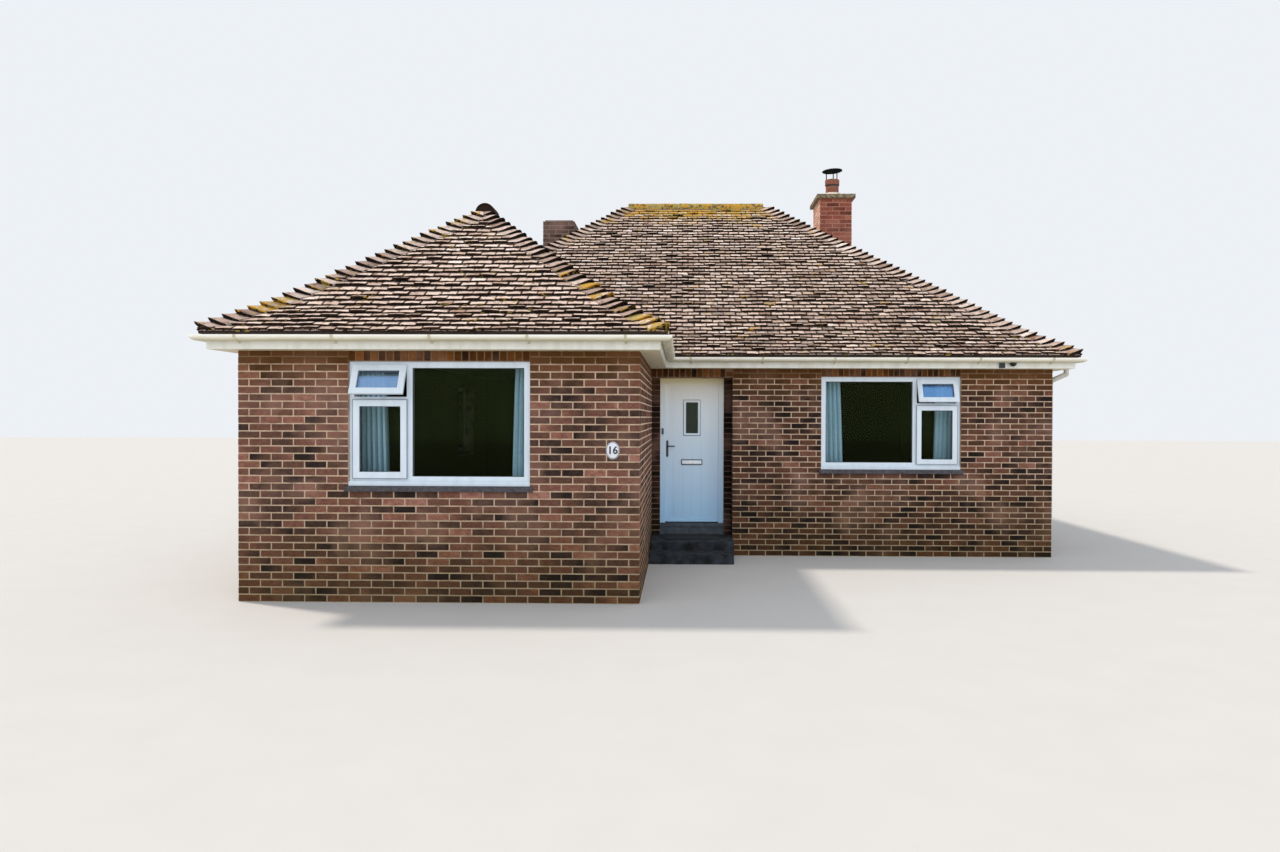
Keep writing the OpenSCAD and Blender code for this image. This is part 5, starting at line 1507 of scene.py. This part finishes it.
def draw_shadow_lines(s):
    """Painted shadow lines, in a grey bead colour, round the leaf, the pane's frame and the
    letter plate.
    """
    bead = plain("painted_shadow_line_grey", "#36404A", "#4E5964", 0.6, 8.0)
    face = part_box("front_door")[0].y
    plate_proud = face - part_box("letter_plate")[0].y
    lines = Shape()
    for node, out, wide, proud in (
        ("front_door", 0.0, s.bead, 0.0006),
        ("door_pane_frames", s.bead, s.bead, 0.0012),
        ("letter_plate", 0.002, 0.013, plate_proud + 0.0008),
    ):
        frame_strip(lines, upright(*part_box(node), face, out), wide, proud, 0.0)
    lines.made("door_painted_shadow_lines", bead, "door", "door_skin")


def fit_weather_bar(s, skin):
    """Bar across the leaf's foot that throws off rain, with a sloping top."""
    low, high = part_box("front_door")
    inset, foot, top, slope = 0.035, 0.012, 0.034, 0.006
    ends = [(low.x + inset, low.z + foot), (high.x - inset, low.z + foot),
            (high.x - inset, low.z + top), (low.x + inset, low.z + top + slope)]
    bar = Shape()
    bar.grow([(x, low.y, z) for x, z in ends]
             + [(x, low.y - s.bar, z - slope) for x, z in ends],
             [(0, 1, 5, 4), (1, 2, 6, 5), (2, 3, 7, 6), (3, 0, 4, 7), (4, 5, 6, 7)])
    bar.made("door_weather_bar", skin, "door", "door_skin")


def fit_lever_plates(metal):
    """Round-ended plates on both faces of the leaf, each with a key barrel under its lever."""
    low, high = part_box("handle_plates")
    leaf_low, leaf_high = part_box("front_door")
    steps, edge, face_share, barrel_up, barrel_r = 12, 0.002, 0.90, 0.055, 0.0085
    x, half, r = (low.x + high.x) / 2, (high.z - low.z) / 2, (high.x - low.x) / 2
    centre_z = low.z + half
    arc = [(math.cos(math.pi * i / steps), math.sin(math.pi * i / steps))
           for i in range(steps + 1)]
    outline = [(x + r * c, high.z - r + r * q) for c, q in arc]
    outline += [(x - r * c, low.z + r - r * q) for c, q in arc]
    n = len(outline)
    plates = Shape()
    for inner_y, outer_y in ((leaf_low.y, low.y), (leaf_high.y, high.y)):
        sign = 1 if outer_y > inner_y else -1
        rings = [(inner_y, 1.0), (outer_y - sign * edge, 1.0), (outer_y, face_share)]
        points = [(x + (px - x) * k, y, centre_z + (pz - centre_z) * (1 - (1 - k) * r / half))
                  for y, k in rings for px, pz in outline]
        faces = bands(2, n) + [tuple(range(2 * n, 3 * n))]
        if sign < 0:
            faces = [tuple(reversed(f)) for f in faces]
        plates.grow(points, faces)
        barrel = Vector((x, outer_y - sign * 2 * edge, low.z + barrel_up))
        tube(plates, [barrel, barrel + NORTH * (sign * 3 * edge)], [barrel_r, barrel_r])
    plates.made("lever_plates", metal, "door", "handle_metal", ("handle_plates",))


def bend_levers(s, metal):
    """Two levers on one spindle, each a round neck, a bend and a grip that tapers."""
    low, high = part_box("handle_plates")
    lever_low, lever_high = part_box("lever_handles")
    neck_r, spindle_r, bend, sunk, bow = 0.0085, 0.005, 0.016, 0.004, 0.004
    x = (low.x + high.x) / 2
    z = (lever_low.z + lever_high.z) / 2
    reach = lever_high.x - 0.002
    radii = [neck_r, neck_r] + [s.grip] * 6 + [0.0085, 0.0080, 0.0078, 0.0078, 0.0072, 0.0045]
    levers = Shape()
    for y_end, y_plate in ((lever_low.y, low.y), (lever_high.y, high.y)):
        sign = 1 if y_end > y_plate else -1
        y = y_end - sign * 0.009
        neck = [Vector((x, y_plate - sign * sunk, z)), Vector((x, y - sign * bend, z))]
        turn = [Vector((x + bend - bend * math.cos(a), y - sign * bend
                        + sign * bend * math.sin(a), z))
                for a in (0.26, 0.52, 0.79, 1.05, 1.31, 1.57)]
        grip = [Vector((x + (reach - x) * t, y, z + bow * math.sin(math.pi * t)))
                for t in (0.3, 0.5, 0.7, 0.85, 0.95, 1.0)]
        tube(levers, neck + turn + grip, radii)
    tube(levers, [Vector((x, low.y, z)), Vector((x, high.y, z))], [spindle_r, spindle_r])
    levers.made("curved_levers", metal, "levers", "handle_metal", ("lever_handles",), True)


def fit_number_plate():
    """Oval plate: glazed pottery, a little domed, with a painted rim and a plain number."""
    glaze = plain("glazed_pottery_plate", "#D6D7DC", "#E6E8EE", 0.12, 60.0, 0.0001)
    paint = plain("fired_black_paint", "#1A1B1E", "#26272B", 0.25, 10.0)
    low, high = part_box("number_plate")
    centre = (low + high) / 2
    half_w, half_h = (high.x - low.x) / 2, (high.z - low.z) / 2
    n, front, dome = 48, low.y, 0.006

    def rings(profile):
        return [(centre.x + half_w * k * c, y, centre.z + half_h * k * q)
                for k, y in profile for c, q in circle(n)]

    profile = [(1.0, high.y), (1.0, front + 0.004), (0.97, front + 0.0008),
               (0.88, front - 0.001), (0.5, front - 0.0045)]
    last = (len(profile) - 1) * n
    plate = Shape()
    plate.grow(rings(profile) + [(centre.x, front - dome, centre.z)],
               bands(len(profile) - 1, n)
               + [(last + i, last + (i + 1) % n, last + n) for i in range(n)])
    plate.made("oval_plate", glaze, "house", "plate_ceramic", ("number_plate",), True)
    rim = Shape()
    rim.grow(rings([(0.94, front - 0.0004), (0.94, front - 0.0014), (0.89, front - 0.0020),
                    (0.89, front - 0.0006)]), bands(3, n))
    rim.made("painted_rim", paint, "house", "plate_ceramic")
    digits = bpy.data.curves.new("house_number", "FONT")
    digits.body = "16"
    digits.align_x, digits.align_y = "CENTER", "CENTER"
    digits.size, digits.extrude, digits.offset = 0.104, 0.0012, 0.0026
    digits.materials.append(paint)
    text = bpy.data.objects.new("house_number", digits)
    bpy.context.scene.collection.objects.link(text)
    text.location = (centre.x, front - dome + 0.0002, centre.z)
    text.rotation_euler = (math.pi / 2, 0, 0)
    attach(text, "house")


def finish_rooms():
    """Floor and ceiling that show through the windows, painted dark as painted shade of the unlit
    rooms.
    """
    finish_node("floor_slab", plain("floor_covering_painted_dark", "#3B362E", "#514A40", 0.95, 12.0,
                                    0.002))
    finish_node("ceiling", plain("ceiling_plaster_painted_dark", "#57544C", "#68645B", 0.9, 80.0))


def lay_floor(s):
    """Pale studio floor with a faint mottle, half a metre across."""
    half = 60.0
    mesh = bpy.data.meshes.new("studio_floor")
    mesh.from_pydata([(-half, -half, 0), (half, -half, 0), (half, half, 0), (-half, half, 0)],
                     [], [(0, 1, 2, 3)])
    floor = bpy.data.objects.new("studio_floor", mesh)
    bpy.context.scene.collection.objects.link(floor)
    made, tree, place = material("studio_floor_paint")
    mottle = add(tree, "ShaderNodeTexNoise", {"Vector": place, "Scale": per_metre(500)})
    tones = add(tree, "ShaderNodeMix", {0: mottle, 6: tuple(s.floor), 7: linear("#CFCCC7")},
                data_type="RGBA")
    shader = add(tree, "ShaderNodeBsdfPrincipled",
                 {"Base Color": tones, "Roughness": 0.9, "Specular IOR Level": 0.1})
    surface(tree, shader)
    mesh.materials.append(made)


def light_world():
    """Even light from all sides, behind which the camera sees a pale sky."""
    world = bpy.data.worlds.new("studio_world")
    bpy.context.scene.world = world
    world.use_nodes = True
    tree = world.node_tree
    tree.nodes.clear()
    path = add(tree, "ShaderNodeLightPath")
    lit = add(tree, "ShaderNodeBackground", {"Color": linear("#ECF2FB"), "Strength": 0.76})
    seen = add(tree, "ShaderNodeBackground", {"Color": linear("#EDF1F6"), "Strength": 1.0})
    # Metal and glass show the same background as the camera
    camera_or_metal = add(tree, "ShaderNodeMath",
                          {0: path.outputs["Is Camera Ray"], 1: path.outputs["Is Glossy Ray"]},
                          operation="MAXIMUM")
    clear = add(tree, "ShaderNodeMath",
                {0: camera_or_metal, 1: path.outputs["Is Transmission Ray"]}, operation="MAXIMUM")
    mixed = add(tree, "ShaderNodeMixShader", {0: clear, 1: lit, 2: seen})
    add(tree, "ShaderNodeOutputWorld", {"Surface": mixed})


def hang_lamp(name, energy, degrees, code, toward):
    """A soft sun of some width that shines from a direction."""
    lamp = bpy.data.lights.new(name, "SUN")
    lamp.energy, lamp.angle = energy, math.radians(degrees)
    lamp.color = linear(code)[:3]
    hung = bpy.data.objects.new(name, lamp)
    bpy.context.scene.collection.objects.link(hung)
    hung.rotation_euler = Vector(toward).to_track_quat("Z", "Y").to_euler()


def aim_camera(s):
    """Sets the camera where the photograph of the house was taken."""
    scene = bpy.context.scene
    picture_px, centre_px = 1280, 27.25
    lens = bpy.data.cameras.new("view")
    lens.lens, lens.sensor_width = s.lens, 36.0
    # The lens's axis meets the picture 27 px right of its middle
    lens.shift_x = -centre_px / picture_px
    lens.clip_end = 200.0
    camera = bpy.data.objects.new("view", lens)
    scene.collection.objects.link(camera)
    right = Vector((math.cos(s.pan), math.sin(s.pan), 0))
    ahead = Vector((-math.sin(s.pan), math.cos(s.pan), 0))
    look = ahead * math.cos(s.tilt) - UP * math.sin(s.tilt)
    over = ahead * math.sin(s.tilt) + UP * math.cos(s.tilt)
    side = right * math.cos(s.roll) + over * math.sin(s.roll)
    head = over * math.cos(s.roll) - right * math.sin(s.roll)
    turn = Matrix((side, head, -look)).transposed()
    camera.matrix_world = Matrix.Translation(Vector(s.eye)) @ turn.to_4x4()
    scene.camera = camera


def set_stage(s):
    """Pale floor, a soft sun from behind and the left, a wide fill from the front, and the
    camera."""
    lay_floor(s)
    light_world()
    hang_lamp("soft_key", 2.2, 5, "#FFF6EA", (-0.506, 0.221, 0.834))
    hang_lamp("soft_fill", 1.35, 80, "#EAF2FF", (0.15, -1.0, 0.3))
    aim_camera(s)
    bpy.context.scene.view_settings.view_transform = "Standard"


class BUNGALOW_OT_stage(bpy.types.Operator):
    """Set the floor, the light and the camera"""
    bl_idname = "bungalow.stage"
    bl_label = "Stage"

    def execute(self, context):
        set_stage(context.scene.bungalow_stage)
        return {"FINISHED"}


class BUNGALOW_OT_brickwork(bpy.types.Operator):
    """Lay the facing bricks on the walls"""
    bl_idname = "bungalow.brickwork"
    bl_label = "Brickwork"

    def execute(self, context):
        lay_brickwork(context.scene.bungalow_bricks)
        return {"FINISHED"}


class BUNGALOW_OT_chimneys(bpy.types.Operator):
    """Lay the chimney bricks and finish the caps and the pot"""
    bl_idname = "bungalow.chimneys"
    bl_label = "Chimneys"

    def execute(self, context):
        lay_chimneys(context.scene.bungalow_bricks)
        return {"FINISHED"}


class BUNGALOW_OT_roof_tiles(bpy.types.Operator):
    """Lay the plain tiles and their moss on every slope"""
    bl_idname = "bungalow.roof_tiles"
    bl_label = "Roof tiles"

    def execute(self, context):
        lay_tiles(context.scene.bungalow_tiles)
        return {"FINISHED"}


class BUNGALOW_OT_bonnets(bpy.types.Operator):
    """Lay the bonnets on the hips and the ridge tiles"""
    bl_idname = "bungalow.bonnets"
    bl_label = "Bonnets and ridges"

    def execute(self, context):
        lay_bonnets(context.scene.bungalow_tiles)
        return {"FINISHED"}


class BUNGALOW_OT_eaves(bpy.types.Operator):
    """Finish the gutters, boards and downpipes"""
    bl_idname = "bungalow.eaves"
    bl_label = "Eaves"

    def execute(self, context):
        fit_eaves(context.scene.bungalow_eaves)
        return {"FINISHED"}


class BUNGALOW_OT_windows(bpy.types.Operator):
    """Finish the window frames, glass, gaskets and sills"""
    bl_idname = "bungalow.windows"
    bl_label = "Windows"

    def execute(self, context):
        fit_windows(context.scene.bungalow_glazing)
        return {"FINISHED"}


class BUNGALOW_OT_curtains(bpy.types.Operator):
    """Hang the curtains behind the front windows"""
    bl_idname = "bungalow.curtains"
    bl_label = "Curtains"

    def execute(self, context):
        hang_curtains(context.scene.bungalow_curtains)
        return {"FINISHED"}


class BUNGALOW_OT_entrance(bpy.types.Operator):
    """Finish the door, its fittings, the steps and the number plate"""
    bl_idname = "bungalow.entrance"
    bl_label = "Entrance"

    def execute(self, context):
        fit_door(context.scene.bungalow_door)
        fit_number_plate()
        finish_rooms()
        return {"FINISHED"}


class BUNGALOW_PT_parts(bpy.types.Panel):
    """Parts of the bungalow"""
    bl_label = "Bungalow"
    bl_space_type = "VIEW_3D"
    bl_region_type = "UI"
    bl_category = "Bungalow"

    def draw(self, context):
        for operator in OPERATORS:
            self.layout.operator(operator.bl_idname)


SETTINGS = {
    "bungalow_bricks": BrickSettings,
    "bungalow_tiles": TileSettings,
    "bungalow_eaves": EavesSettings,
    "bungalow_glazing": GlazingSettings,
    "bungalow_door": DoorSettings,
    "bungalow_curtains": CurtainSettings,
    "bungalow_stage": StageSettings,
}
OPERATORS = (
    BUNGALOW_OT_stage, BUNGALOW_OT_brickwork, BUNGALOW_OT_chimneys, BUNGALOW_OT_roof_tiles,
    BUNGALOW_OT_bonnets, BUNGALOW_OT_eaves, BUNGALOW_OT_windows, BUNGALOW_OT_curtains,
    BUNGALOW_OT_entrance,
)


def register():
    for group in SETTINGS.values():
        bpy.utils.register_class(group)
    for name, group in SETTINGS.items():
        setattr(bpy.types.Scene, name, bpy.props.PointerProperty(type=group))
    for operator in OPERATORS:
        bpy.utils.register_class(operator)
    bpy.utils.register_class(BUNGALOW_PT_parts)


def unregister():
    bpy.utils.unregister_class(BUNGALOW_PT_parts)
    for operator in reversed(OPERATORS):
        bpy.utils.unregister_class(operator)
    for name, group in SETTINGS.items():
        delattr(bpy.types.Scene, name)
        bpy.utils.unregister_class(group)


def main():
    register()
    bpy.ops.bungalow.stage()
    bpy.ops.bungalow.brickwork()
    bpy.ops.bungalow.chimneys()
    bpy.ops.bungalow.roof_tiles()
    bpy.ops.bungalow.bonnets()
    bpy.ops.bungalow.eaves()
    bpy.ops.bungalow.windows()
    bpy.ops.bungalow.curtains()
    bpy.ops.bungalow.entrance()


if __name__ == "__main__":
    main()
